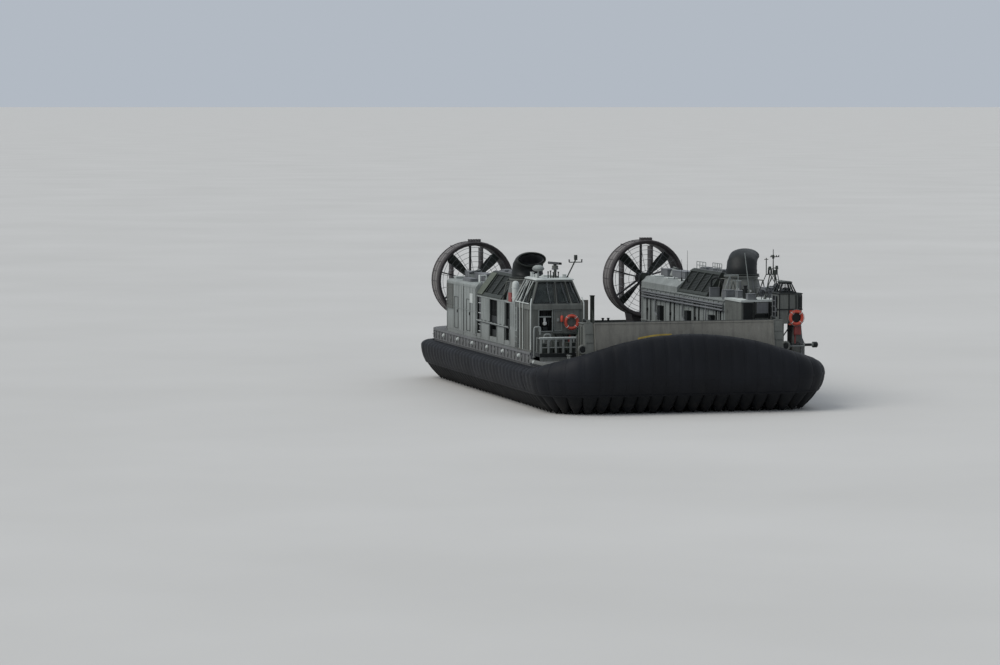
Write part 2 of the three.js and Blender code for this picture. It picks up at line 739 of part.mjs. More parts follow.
addToPort('lookout_cab', makeLookoutCab(), paints.cabin);
addToPort('lookout_window_frame',
  makeWindowFrame(cupola, CUPOLA_WINDOWS, 55, LOOKOUT.wall), paints.black);
addToPort('lookout_glass', makeLookoutGlass(), paints.glass);
addToPort('lookout_roof', makeRoof(cupola, 60, 30), paints.dark);

// Machinery modules

function makeFanModule() {
  const { aft, fore, top } = FAN_MODULE;
  const body = block(aft, fore, -SIDE.outer, -SIDE.inner, SIDE.base, top);
  const [depth, foot, head] = [260, 2950, 4780];
  const recesses = [[aft - 1, -990], [700, 2160], [3780, 4450]];
  const tools = recesses.map(([from, to]) => {
    return block(from, to, -SIDE.outer - 1, -SIDE.outer + depth, foot, head);
  });
  const ledge = block(aft, 4450, -SIDE.outer - 40, -SIDE.outer + depth, 3550, 3640);
  return join([cut(body, tools), ledge]);
}

addPair('fan_module', makeFanModule(), paints.wall);

function makeIntakeHousing() {
  const { aft, fore, top, topOuter, topInner } = INTAKE;
  const base = FAN_MODULE.top + GAP;
  const [outer, inner, step] = [SIDE.outer - 20, SIDE.inner + 30, base + 70];
  const body = prism([
    [-outer, base], [-inner, base], [-inner, step], [-topInner, top], [-topOuter, top], [-outer, step],
  ], 'x', aft, fore);
  const [bays, post, depth, border] = [4, 90, 90, 110];
  const bay = (fore - aft - post) / bays;
  const tools = [];
  [[outer, topOuter], [inner, topInner]].forEach(([low, high]) => {
    const lean = (high - low) / (top - step);
    const inward = Math.sign(lean) * depth;
    const at = (z) => low + lean * (z - step);
    for (let i = 0; i < bays; i++) {
      const start = aft + post + i * bay;
      const points = [
        [-at(step + border) + 1e3 * Math.sign(lean), step + border],
        [-at(step + border) - inward, step + border],
        [-at(top - border) - inward, top - border],
        [-at(top - border) + 1e3 * Math.sign(lean), top - border],
      ];
      const ordered = lean < 0 ? points.reverse() : points;
      tools.push(prism(ordered, 'x', start, start + bay - post));
    }
  });
  return cut(body, tools);
}

addPair('intake_housing', makeIntakeHousing(), paints.dark);

function makeEngineModule() {
  const { aft, fore, top } = ENGINE_MODULE;
  const section = (depth, base) => [
    [-SIDE.outer + depth, base],
    [-SIDE.inner - depth, base],
    [-SIDE.inner - depth, top - 280],
    [-SIDE.inner - 350, top - depth],
    [-SIDE.outer + 100 + depth / 2, top - depth],
    [-SIDE.outer + depth, top - 100 - depth / 2],
  ];
  const shell = prism(section(0, SIDE.base), 'x', aft, fore);
  const inside = prism(section(WALL, SIDE.base - 1), 'x', aft + WALL, fore - WALL);
  const stacks = [-3300, -6300].map((x) => {
    const stack = rod([x, -5250, top - 30], [x, -5450, top + 420], 300, 16);
    return cut(stack, [rod([x, -5320, top + 150], [x, -5459, top + 440], 255, 16)]);
  });
  const { end, radius, endRadius } = SHAFT_HOUSING;
  const shaftHousing = rod([aft + WALL / 2, -DUCT.y, DUCT.z], [end, -DUCT.y, DUCT.z], radius, 16, endRadius);
  return join([cut(shell, [inside]), ...stacks, shaftHousing]);
}

addPair('engine_module', makeEngineModule(), paints.wall);

[['fore', -3300], ['aft', -6300]].forEach(([place, x]) => {
  const { length, width, height } = TURBINE;
  const [y, z] = [-5250, 3000];
  const turbine = block(x - length / 2, x + length / 2, y - width / 2, y + width / 2, z, z + height);
  const stand = block(x - length / 3, x + length / 3, y - width / 3, y + width / 3, SIDE.base, z);
  addPair(`gas_turbine_${place}`, join([turbine, stand]), paints.steel);
});

// Propeller ducts

function makeDuct() {
  const { x, y, z, bore, outer, lip, length, sides } = DUCT;
  const ring = turnedAboutX([
    [outer - 40, x - length],
    [outer, x - length * 0.55],
    [outer, x - 330],
    [lip, x - 150],
    [lip - 20, x - 40],
    [lip - 90, x],
    [bore + 75, x - 30],
    [bore + 15, x - 160],
    [bore, x - 330],
    [bore, x - length],
    [outer - 40, x - length],
  ], sides, -y, z);
  const nacelle = turnedAboutX([
    [0, x - 910], [250, x - 910], [290, x - 1000], [290, x - 1400], [190, x - 1620], [0, x - 1680],
  ], 16, -y, z);
  const strutAngles = [90, 15, 165, 270, 325, 215];
  const struts = strutAngles.map((angle) => {
    const [thickness, chord] = [60, 260];
    const geometry = new THREE.BoxGeometry(chord, outer - 220, thickness);
    geometry.translate(x - 1250, (outer + 120) / 2, 0);
    geometry.rotateX(THREE.MathUtils.degToRad(angle));
    geometry.translate(0, -y, z);
    return solidOf(geometry);
  });
  const pylon = cut(
    prism([[-y - 1250, SIDE.base], [-y + 700, SIDE.base], [-y + 900, 3750], [-y - 900, 3750]],
      'x', x - length + 150, x - 200),
    [turnedAboutX([[0, x], [bore + 60, x], [bore + 60, x - length], [0, x - length]], sides, -y, z)]);
  const brackets = [-1, 1].flatMap((side) => [-1, 1].map((level) => {
    const [half, from, to] = [75, RUDDER.halfHeight + 2 * RUNNING, RUDDER.halfHeight + 140];
    const [low, high] = [z + level * from, z + level * to].sort((a, b) => a - b);
    const middle = -y + side * RUDDER.offset;
    const arm = block(RUDDER.x - 90, x - length + 120, middle - half, middle + half, low, high);
    const hole = rod([RUDDER.x, middle, low - 1], [RUDDER.x, middle, high + 1], 45, 12);
    return cut(arm, [hole]);
  }));
  const fins = [-280, -140, 0, 140, 280].map((offset) => {
    return block(x - 560, x - 160, -y + offset - 18, -y + offset + 18, z + bore + 60, z + lip + 110);
  });
  return join([ring, nacelle, ...struts, pylon, ...brackets, ...fins]);
}

addPair('duct', makeDuct(), paints.duct);

// A blade's section at a radius, drawn with the hub line along X and the blade along +Z.
function bladeRing(radius, chord, pitch, thickness) {
  const turn = THREE.MathUtils.degToRad(pitch);
  const outline = [
    [-0.5, 0], [-0.3, 0.42], [0, 0.5], [0.3, 0.35], [0.5, 0], [0.3, -0.35], [0, -0.5], [-0.3, -0.42],
  ];
  return outline.map(([along, through]) => {
    const [c, t] = [along * chord, through * thickness];
    return [c * Math.sin(turn) + t * Math.cos(turn), c * Math.cos(turn) - t * Math.sin(turn), radius];
  });
}

function makePropeller() {
  const { radius, hub, blades, start } = PROPELLER;
  const spinner = turnedAboutX([
    [0, -200], [hub - 30, -200], [hub, -120], [hub, 120], [hub - 60, 260], [hub - 160, 380], [0, 440],
  ], 20, 0, 0);
  const shaft = rod([400, 0, 0], [SHAFT_HOUSING.end - 2 * RUNNING - PROPELLER.x, 0, 0], 90, 12);
  // Each row has a radius, chord, pitch in degrees and thickness.
  const sections = [
    [hub - 60, 260, 60, 110],
    [700, 430, 48, 70],
    [1200, 520, 36, 50],
    [1600, 520, 28, 34],
    [radius, 400, 25, 20],
  ];
  const blade = loft(sections.map((row) => bladeRing(...row)));
  const turned = [];
  for (let i = 0; i < blades; i++) {
    const geometry = geometryOf(blade);
    geometry.rotateX(THREE.MathUtils.degToRad(start + i * 360 / blades));
    turned.push(solidOf(geometry));
  }
  return join([spinner, shaft, ...turned]);
}

[['starboard', -1], ['port', 1]].forEach(([name, side]) => {
  const propeller = add(`propeller_${name}`, makePropeller(), paints.dark);
  propeller.position.set(PROPELLER.x, side * DUCT.y, DUCT.z);
});

// A rudder drawn with its stock along Z at the origin.
function makeRudder() {
  const { halfHeight, fore, aft, thickness } = RUDDER;
  const half = thickness / 2;
  const blade = prism([
    [fore, 0], [fore * 0.6, half * 0.8], [0, half], [-aft * 0.5, half * 0.7], [-aft, 8],
    [-aft, -8], [-aft * 0.5, -half * 0.7], [0, -half], [fore * 0.6, -half * 0.8],
  ], 'z', -halfHeight, halfHeight);
  const stock = rod([0, 0, -halfHeight - 120], [0, 0, halfHeight + 120], 35, 12);
  return join([blade, stock]);
}

[['starboard', -1], ['port', 1]].forEach(([name, side]) => {
  [['outer', 1], ['inner', -1]].forEach(([place, offset]) => {
    const rudder = add(`rudder_${name}_${place}`, makeRudder(), paints.duct);
    rudder.position.set(RUDDER.x, side * (DUCT.y + offset * RUDDER.offset), DUCT.z);
  });
});

// Bow thrusters

function makeThrusterBase() {
  const { base, neck, flange } = THRUSTER;
  const foot = FAN_MODULE.top + GAP;
  const body = turnedAboutZ([
    [0, foot], [base, foot], [base, foot + 120], [neck, flange - 160], [neck, flange - 60],
    [neck + 80, flange - 60], [neck + 80, flange], [neck - 110, flange], [neck - 110, flange - 300],
    [0, flange - 300],
  ], 24);
  // Tubular frames at the four corners lean on the neck.
  const [far, near, bar] = [960, 500, 28];
  const frames = [[far, 1], [far, -1], [-far, 1], [-far, -1]].flatMap(([along, side]) => {
    const apex = [along, side * 770, flange - 200];
    const feet = [far, near].map((across) => [along, side * across, foot]);
    return [
      ...feet.map(([x, y, z]) => rod([x, y, z], [x, y, z + 40], 55, 6)),
      ...feet.map(([x, y, z]) => rod([x, y, z + bar], apex, bar, 6)),
      rod(apex, [along * 0.64, side * 420, flange - 180], bar, 6),
    ];
  });
  return join([body, ...frames]);
}

// Sections of the elbow: tilt from upright in degrees, x and z of the middle, half width, half depth.
const ELBOW = [
  [0, 0, THRUSTER.flange + RUNNING, 760, 760],
  [10, 0, 6200, 750, 740],
  [35, 110, 6540, 730, 600],
  [65, 380, 6760, 710, 420],
  [88, 600, 6870, 700, 345],
  [90, 820, 6880, 700, 340],
];

function elbowRing([tilt, x, z, halfWidth, halfDepth], inset, push) {
  const [turn, sides] = [THREE.MathUtils.degToRad(tilt), 18];
  const middle = [x + Math.sin(turn) * push, z + Math.cos(turn) * push];
  const ring = [];
  for (let i = 0; i < sides; i++) {
    const angle = i / sides * 2 * Math.PI;
    const across = (halfWidth - inset) * Math.sin(angle);
    const along = (halfDepth - inset) * Math.cos(angle);
    ring.push([middle[0] + along * Math.cos(turn), across, middle[1] - along * Math.sin(turn)]);
  }
  return ring;
}

function makeThrusterNozzle() {
  const wall = 45;
  const last = ELBOW.length - 1;
  const outside = loft(ELBOW.map((row) => elbowRing(row, 0, 0)));
  const inside = loft(ELBOW.map((row, i) => elbowRing(row, wall, i === 0 ? -1 : Number(i === last))));
  const floor = THRUSTER.flange + RUNNING;
  const [inner, outer, top] = [720, 850, floor + 70];
  const collarOutline = [[inner, floor], [outer, floor], [outer, top], [inner, top], [inner, floor]];
  const collar = turnedAboutZ(collarOutline, 24);
  return join([cut(outside, [inside]), collar]);
}

[['starboard', -1, 0], ['port', 1, THRUSTER.portAim]].forEach(([name, side, aim]) => {
  const base = add(`thruster_base_${name}`, makeThrusterBase(), paints.cabin);
  base.position.set(THRUSTER.x, side * THRUSTER.y, 0);
  const nozzle = add(`thruster_nozzle_${name}`, makeThrusterNozzle(), paints.black);
  nozzle.position.set(THRUSTER.x, side * THRUSTER.y, 0);
  nozzle.rotation.z = THREE.MathUtils.degToRad(aim);
});

// Gear on the roofs

const ROOF_TOP = CABIN.head + GAP + 110;
const RADAR = { x: 7500, y: -5050, pedestal: 560, length: 1100, yaw: 13 };

function makeRadarPedestal() {
  const top = ROOF_TOP + GAP + RADAR.pedestal;
  return join([
    rod([0, 0, ROOF_TOP + GAP], [0, 0, ROOF_TOP + 60], 190, 12),
    rod([0, 0, ROOF_TOP + 40], [0, 0, top - 180], 70, 10),
    rod([0, 0, top - 190], [0, 0, top], 150, 12),
  ]);
}

function makeRadarScanner() {
  const base = ROOF_TOP + RADAR.pedestal + RUNNING;
  const half = RADAR.length / 2;
  return join([
    rod([0, 0, base], [0, 0, base + 60], 80, 12),
    prism([[-60, base + 50], [70, base + 50], [100, base + 100], [70, base + 170], [-60, base + 150]],
      'y', -half, half),
  ]);
}

add('radar_pedestal', makeRadarPedestal(), paints.cabin).position.set(RADAR.x, RADAR.y, 0);
const scanner = add('radar_scanner', makeRadarScanner(), paints.black);
scanner.position.set(RADAR.x, RADAR.y, 0);
scanner.rotation.z = THREE.MathUtils.degToRad(RADAR.yaw - 90);

// A leaning pole with a lamp on its head and a cross arm below the lamp.
const LAMP_MAST = { foot: [7600, -4480], head: [7700, -4090], lamp: 6960, top: 7200, arm: 6860, reach: 320 };

function makeLampMast() {
  const { foot, head, lamp, top, arm, reach } = LAMP_MAST;
  const base = ROOF_TOP + GAP;
  return join([
    rod([...foot, base], [...foot, base + 40], 60, 10),
    rod([...foot, base + 20], [...head, lamp + 20], 32, 8),
    rod([head[0], head[1] - reach, arm], [head[0], head[1] + reach, arm], 22, 6),
    rod([...head, lamp], [...head, top], 85, 10),
  ]);
}

const DOME = { x: 7850, y: -5970, radius: 285, low: 6470, high: 6760 };

function makeDomeAerial() {
  const { radius, low, high } = DOME;
  const height = high - low;
  const base = ROOF_TOP + GAP;
  return join([
    rod([0, 0, base], [0, 0, base + 30], 60, 10),
    rod([0, 0, base + 20], [0, 0, low + 20], 40, 8),
    turnedAboutZ([
      [0, low], [radius * 0.6, low], [radius * 0.95, low + height * 0.2], [radius, low + height * 0.4],
      [radius * 0.85, low + height * 0.72], [radius * 0.45, low + height * 0.95], [0, high],
    ], 16),
  ]);
}

add('lamp_mast', makeLampMast(), paints.dark);
add('dome_aerial', makeDomeAerial(), paints.wall).position.set(DOME.x, DOME.y, 0);

const MAST = {
  x: 7940, y: 5700, footReach: 400, headReach: 160, platform: 6180, top: 7380, yard: 7020, stayY: 4810,
};

// A three-legged mast with a platform, and a pole above it that carries a yard, a side post and lamps.
function makeLatticeMast() {
  const { x, y, footReach, headReach, platform, top, yard, stayY } = MAST;
  const foot = PORT_CABIN.top + 100 + GAP;
  const leg = (turn, z) => {
    const reach = footReach + (headReach - footReach) * (z - foot) / (platform - foot);
    return [x + reach * Math.cos(turn), y + reach * Math.sin(turn), z];
  };
  const turns = [0, 1, 2].map((i) => i * 2 * Math.PI / 3);
  const [pads, levels] = [90, [foot + 30, foot + 620, platform]];
  const solids = turns.flatMap((turn, i) => {
    const next = turns[(i + 1) % turns.length];
    const [padX, padY] = leg(turn, foot);
    return [
      rod([padX, padY, foot], [padX, padY, foot + 30], pads, 8),
      rod(leg(turn, foot + 10), leg(turn, platform), 28, 4),
      rod(leg(turn, levels[1]), leg(next, levels[1]), 18, 4),
      rod(leg(turn, levels[0]), leg(next, levels[1]), 17, 4),
      rod(leg(turn, levels[1]), leg(next, levels[2]), 17, 4),
    ];
  });
  const sidePost = y - 350;
  solids.push(
    rod([x, y, platform - 20], [x, y, platform + 20], headReach + 60, 12),
    rod([x, y, platform], [x, y, top], 34, 8, 16),
    rod([x, y - 160, yard], [x, y + 300, yard], 20, 6),
    rod([x, y, yard - 90], [x, y, yard + 90], 60, 8),
    rod([x, y + 50, platform], [x, sidePost, platform], 24, 6),
    rod([x, sidePost, platform - 40], [x, sidePost, 6970], 24, 6),
    rod([x, sidePost, platform], [x, stayY, foot + 25], 22, 6),
    rod([x, stayY, foot], [x, stayY, foot + 30], pads, 8),
  );
  // Lamps beside the pole. Each row has how far to port it stands, its foot, radius and height.
  const lamps = [[-190, 6380, 85, 180], [160, 6420, 80, 170], [60, 6200, 105, 190]];
  lamps.forEach(([offset, z, radius, height]) => {
    const [lampX, lampY] = [x + 60, y + offset];
    solids.push(
      rod([lampX, lampY, z], [lampX, lampY, z + height], radius, 8, radius * 0.8),
      rod([x, y, z + 60], [lampX, lampY, z + 60], 22, 6),
    );
  });
  return join(solids);
}

add('lattice_mast', makeLatticeMast(), paints.dark);

function makeLifeRing() {
  const geometry = new THREE.TorusGeometry(300, 78, 8, 20);
  geometry.rotateY(Math.PI / 2);
  return solidOf(geometry);
}

add('life_ring_starboard', makeLifeRing(), paints.orange).position.set(CABIN.fore + 79, -4520, 4070);
add('life_ring_port', makeLifeRing(), paints.orange).position.set(LOOKOUT.fore + 79, 5990, 4230);

export default craft;
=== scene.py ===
import json
import math

import bmesh
import bpy
from mathutils import Matrix, Vector, noise


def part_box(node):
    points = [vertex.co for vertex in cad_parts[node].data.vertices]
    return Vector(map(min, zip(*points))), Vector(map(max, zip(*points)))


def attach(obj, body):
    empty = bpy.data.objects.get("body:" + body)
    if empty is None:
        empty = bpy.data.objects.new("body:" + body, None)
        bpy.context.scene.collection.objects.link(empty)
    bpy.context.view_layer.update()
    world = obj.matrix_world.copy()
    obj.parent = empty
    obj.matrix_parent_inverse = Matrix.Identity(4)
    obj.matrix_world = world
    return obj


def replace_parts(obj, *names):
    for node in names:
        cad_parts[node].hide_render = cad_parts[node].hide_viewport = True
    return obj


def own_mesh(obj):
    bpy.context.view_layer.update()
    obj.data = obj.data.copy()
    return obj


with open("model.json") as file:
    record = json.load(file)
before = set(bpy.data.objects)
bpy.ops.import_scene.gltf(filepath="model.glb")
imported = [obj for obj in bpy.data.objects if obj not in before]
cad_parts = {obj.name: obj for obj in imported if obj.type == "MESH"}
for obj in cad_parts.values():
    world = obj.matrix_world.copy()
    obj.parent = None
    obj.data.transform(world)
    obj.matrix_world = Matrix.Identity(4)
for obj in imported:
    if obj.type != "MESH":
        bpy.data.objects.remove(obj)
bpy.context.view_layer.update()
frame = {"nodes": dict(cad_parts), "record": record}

CRAFT = "craft"
STARBOARD, PORT = -1, 1
SIDES = (("starboard", STARBOARD), ("port", PORT))
UP = Vector((0, 0, 1))
AHEAD = Vector((1, 0, 0))
UNTURNED = Matrix.Identity(4)

# Camera and studio, in metres. The camera stands where the photograph was taken.

CAMERA_PLACE = (168.46, -49.88, 14.31)
CAMERA_YAW = 0.25603
CAMERA_PITCH = 0.06447
CAMERA_LENS = 127.1
SENSOR_WIDTH = 36.0
VIEW_DISTANCE = 40000.0
FLOOR_RADIUS = 20000.0
SKY_COLOR = (0.62, 0.68, 0.76, 1.0)
SKY_STRENGTH = 0.72

# Each sun has its name, the way it shines, its strength, its width in degrees and its colour.
SUNS = (
    ("key_light", (-0.15, 1.0, -1.15), 1.9, 40, (1.0, 0.98, 0.94)),
    ("rim_light", (0.7, -0.8, -1.0), 0.45, 50, (0.92, 0.96, 1.0)),
)


def aimed(item, way):
    item.rotation_euler = Vector(way).to_track_quat("-Z", "Y").to_euler()
    bpy.context.collection.objects.link(item)
    return item


def make_camera():
    data = bpy.data.cameras.new("camera")
    data.lens = CAMERA_LENS
    data.sensor_width = SENSOR_WIDTH
    data.clip_end = VIEW_DISTANCE
    level = math.cos(CAMERA_PITCH)
    way = (-math.cos(CAMERA_YAW) * level, math.sin(CAMERA_YAW) * level, -math.sin(CAMERA_PITCH))
    camera = aimed(bpy.data.objects.new("camera", data), way)
    camera.location = CAMERA_PLACE
    bpy.context.scene.camera = camera


def make_studio():
    bpy.context.scene.view_settings.view_transform = "Standard"
    world = bpy.data.worlds.new("studio")
    bpy.context.scene.world = world
    world.use_nodes = True
    backdrop = world.node_tree.nodes["Background"]
    backdrop.inputs["Color"].default_value = SKY_COLOR
    backdrop.inputs["Strength"].default_value = SKY_STRENGTH
    for name, way, strength, width, color in SUNS:
        data = bpy.data.lights.new(name, "SUN")
        data.energy = strength
        data.angle = math.radians(width)
        data.color = color
        aimed(bpy.data.objects.new(name, data), way)
    bpy.ops.mesh.primitive_circle_add(vertices=96, radius=FLOOR_RADIUS, fill_type="NGON")
    floor = bpy.context.object
    floor.name = "floor"
    floor.data.materials.append(floor_material())


# Materials

NOISE_ROUGHNESS = 0.55


class Surface:
    """A node material under construction: colour, roughness and bump are built up in turn."""

    def __init__(self, name, roughness, metallic=0.0, shine=0.5):
        self.material = bpy.data.materials.new(name)
        self.material.use_nodes = True
        self.nodes = self.material.node_tree.nodes
        self.links = self.material.node_tree.links
        self.shader = self.nodes["Principled BSDF"]
        self.shader.inputs["Roughness"].default_value = roughness
        self.shader.inputs["Metallic"].default_value = metallic
        self.shader.inputs["Specular IOR Level"].default_value = shine
        self.place = self.nodes.new("ShaderNodeTexCoord").outputs["Object"]

    def node(self, kind, output, inputs, **settings):
        """Adds a node with its settings and inputs, and gives one of its outputs."""
        node = self.nodes.new(f"ShaderNode{kind}")
        for name, value in settings.items():
            setattr(node, name, value)
        for name, value in inputs.items():
            socket = node.inputs[name]
            if isinstance(value, bpy.types.NodeSocket):
                self.links.new(value, socket)
            elif isinstance(value, tuple) and socket.type == "RGBA":
                socket.default_value = (*value, 1.0)
            else:
                socket.default_value = value
        return node.outputs[output]

    def noise(self, scale, detail, stretch=(1, 1, 1)):
        place = self.node("Mapping", "Vector", {"Vector": self.place, "Scale": stretch})
        return self.node("TexNoise", "Fac", {
            "Vector": place, "Scale": scale, "Detail": detail, "Roughness": NOISE_ROUGHNESS})

    def ramp(self, value, low, high):
        """Stretches the value so that low gives 0 and high gives 1."""
        return self.node("MapRange", "Result", {"Value": value, "From Min": low, "From Max": high})

    def patches(self, scale, detail, low, high, stretch=(1, 1, 1)):
        """A mask of noise between two levels."""
        return self.ramp(self.noise(scale, detail, stretch), low, high)

    def low_down(self, none, full):
        """A mask that goes from 0 at one height above the ground to 1 at a lower one, in metres."""
        return self.ramp(self.node("SeparateXYZ", "Z", {"Vector": self.place}), none, full)

    def times(self, first, second):
        return self.node("Math", 0, {0: first, 1: second}, operation="MULTIPLY")

    def mix(self, factor, first, second):
        return self.node("Mix", 2, {0: factor, 6: first, 7: second}, data_type="RGBA")

    def stained(self, color, mask, strength, stain):
        return self.mix(self.times(mask, strength), color, stain)

    def color(self, value):
        self.links.new(value, self.shader.inputs["Base Color"])

    def rough(self, value, low, high):
        result = self.node("MapRange", "Result", {"Value": value, "To Min": low, "To Max": high})
        self.links.new(result, self.shader.inputs["Roughness"])

    def bump(self, value, strength, distance):
        inputs = {"Height": value, "Strength": strength, "Distance": distance}
        socket = self.shader.inputs["Normal"]
        if socket.links:
            inputs["Normal"] = socket.links[0].from_socket
        self.links.new(self.node("Bump", "Normal", inputs), socket)


def scaled(color, factor):
    return tuple(channel * factor for channel in color)


def floor_material():
    surface = Surface("studio_floor", 0.8)
    surface.color(surface.mix(surface.patches(0.05, 3, 0.3, 0.7), (0.48, 0.47, 0.45), (0.52, 0.51, 0.49)))
    surface.bump(surface.noise(6.0, 3), 0.08, 0.01)
    return surface.material


def weathered_paint(name, base, grime=0.55, streaks=0.5):
    """Matte paint on metal plates: mottled, streaked downwards, salt-stained, dented, and grimy low down."""
    surface = Surface(name, 0.66)
    fine = surface.patches(14.0, 4, 0.3, 0.7)
    runs = surface.patches(1.0, 4, 0.46, 0.76, (5.5, 5.5, 0.35))
    rust = surface.patches(3.1, 6, 0.69, 0.8, (2.2, 2.2, 0.8))
    salt = surface.patches(2.3, 5, 0.62, 0.9, (1, 1, 0.5))
    color = surface.mix(surface.patches(0.9, 5, 0.35, 0.68), scaled(base, 0.82), scaled(base, 1.12))
    color = surface.stained(color, fine, 0.25, scaled(base, 0.75))
    color = surface.stained(color, runs, streaks, scaled(base, 0.5))
    color = surface.stained(color, surface.low_down(3.6, 2.2), grime, (0.075, 0.07, 0.062))
    color = surface.stained(color, rust, 0.5, (0.12, 0.06, 0.032))
    surface.color(surface.stained(color, salt, 0.35, (0.42, 0.43, 0.42)))
    surface.rough(fine, 0.56, 0.82)
    surface.bump(surface.noise(1.1, 2), 0.25, 0.03)
    surface.bump(surface.noise(45.0, 3), 0.12, 0.004)
    return surface.material


def deck_material():
    """Dark non-skid coating, worn and scuffed fore and aft."""
    surface = Surface("deck_non_skid", 0.9)
    wear = surface.patches(0.5, 6, 0.46, 0.7, (0.35, 1.4, 1))
    scuff = surface.patches(2.4, 6, 0.6, 0.75, (0.2, 3.0, 1))
    color = surface.mix(wear, (0.075, 0.08, 0.08), (0.17, 0.165, 0.15))
    surface.color(surface.stained(color, scuff, 0.6, (0.03, 0.03, 0.03)))
    surface.rough(surface.noise(8.0, 3), 0.78, 0.96)
    surface.bump(surface.noise(90.0, 2), 0.7, 0.006)
    return surface.material


def skirt_material(name, base, wet):
    """Coated fabric: near black, with a faint weave, pale scuffs and salt, and a wet sheen."""
    surface = Surface(name, 0.5, shine=0.22)
    scuff = surface.patches(1.6, 7, 0.58, 0.82, (1, 1, 0.4))
    sand = surface.times(surface.low_down(0.75, 0.0), surface.patches(3.5, 5, 0.4, 0.7))
    color = surface.mix(surface.patches(0.45, 5, 0.3, 0.72), scaled(base, 0.7), scaled(base, 1.5))
    color = surface.stained(color, scuff, 0.25, (0.03, 0.031, 0.032))
    surface.color(surface.stained(color, sand, 0.25, (0.10, 0.085, 0.07)))
    surface.rough(surface.noise(1.2, 5), 0.66 - wet, 0.86 - wet)
    surface.bump(surface.noise(0.9, 4, (1, 1, 0.5)), 0.35, 0.06)
    surface.bump(surface.noise(5.0, 4, (1, 1, 0.6)), 0.3, 0.015)
    surface.bump(surface.noise(160.0, 1), 0.25, 0.0015)
    return surface.material


def plain_paint(name, base, roughness=0.55, contrast=0.25, metallic=0.0, shine=0.5):
    surface = Surface(name, roughness, metallic, shine)
    tone = surface.patches(3.0, 5, 0.3, 0.7)
    color = surface.mix(tone, scaled(base, 1 - contrast), scaled(base, 1 + contrast))
    surface.color(surface.stained(color, surface.patches(11.0, 5, 0.66, 0.8), 0.4, scaled(base, 0.45)))
    surface.rough(surface.noise(9.0, 3), roughness - 0.12, roughness + 0.15)
    surface.bump(surface.noise(30.0, 3), 0.15, 0.004)
    return surface.material


def glass_material(name, opacity):
    surface = Surface(name, 0.06)
    dust = surface.patches(3.0, 5, 0.45, 0.8)
    surface.color(surface.mix(dust, (0.012, 0.018, 0.016), (0.05, 0.06, 0.055)))
    surface.rough(dust, 0.04, 0.3)
    surface.shader.inputs["Alpha"].default_value = opacity
    surface.material.surface_render_method = "BLENDED"
    return surface.material


MATERIALS = {
    "hull_paint": weathered_paint("hull_paint", (0.15, 0.157, 0.165), grime=0.5),
    "wall_paint": weathered_paint("wall_paint", (0.235, 0.255, 0.245)),
    "cabin_paint": weathered_paint("cabin_paint", (0.122, 0.129, 0.117), streaks=0.6),
    "deck_paint": deck_material(),
    "ramp_paint": weathered_paint("ramp_paint", (0.175, 0.17, 0.148), grime=0.35, streaks=0.7),
    "skirt_rubber": skirt_material("skirt_rubber", (0.0054, 0.0063, 0.0088), 0.14),
    "finger_rubber": skirt_material("finger_rubber", (0.0060, 0.0068, 0.0082), 0.08),
    "dark_paint": plain_paint("dark_paint", (0.022, 0.028, 0.023), 0.65),
    "duct_paint": weathered_paint("duct_paint", (0.040, 0.034, 0.035), grime=0.0),
    "black_paint": plain_paint("black_paint", (0.008, 0.010, 0.010), shine=0.3),
    "machinery": plain_paint("machinery", (0.10, 0.105, 0.11), 0.45, metallic=0.5),
    "roof_paint": weathered_paint("roof_paint", (0.5, 0.53, 0.51), grime=0.0, streaks=0.25),
    "life_ring": plain_paint("life_ring", (0.46, 0.062, 0.035), 0.6, 0.2),
    "glass": glass_material("tinted_glass", 0.72),
    "clear_glass": glass_material("clear_glass", 0.12),
    "white": plain_paint("white_paint", (0.5, 0.51, 0.49), contrast=0.12),
    "yellow": plain_paint("yellow_paint", (0.36, 0.26, 0.05), 0.6, 0.3),
    "red": plain_paint("red_paint", (0.20, 0.035, 0.03), 0.6, 0.3),
    "green_gear": plain_paint("green_gear", (0.03, 0.075, 0.05), 0.6, 0.3),
    "pale_green": weathered_paint("pale_green", (0.088, 0.102, 0.075), grime=0.0),
    "duct_skin": weathered_paint("duct_skin", (0.17, 0.158, 0.152), grime=0.0, streaks=0.6),
    "wire": plain_paint("guard_wire", (0.10, 0.105, 0.11), 0.5, 0.2, metallic=0.4),
    "seat": plain_paint("seat_cloth", (0.03, 0.035, 0.04), 0.85, 0.3),
}


def dress_frame():
    """Gives each node of the frame the material of its slot."""
    for row in frame["record"]["subparts"]:
        data = frame["nodes"][row["node"]].data
        if not data.materials:
            data.materials.append(None)
        for i in range(len(data.materials)):
            data.materials[i] = MATERIALS[row["material_slot"]]


# Shapes

RECORD_SLOTS = {row["material_slot"] for row in frame["record"]["subparts"]}
SHARP_ANGLE = math.radians(40)
BOX_FACES = ((0, 1, 3, 2), (4, 6, 7, 5), (0, 4, 5, 1), (2, 3, 7, 6), (0, 2, 6, 4), (1, 5, 7, 3))


def spread(start, end, count):
    """Evenly spaced numbers, both ends included."""
    return [start + (end - start) * i / (count - 1) for i in range(count)]


def turns(count, start=0.0):
    """Evenly spaced angles all the way round."""
    return [start + 2 * math.pi * i / count for i in range(count)]


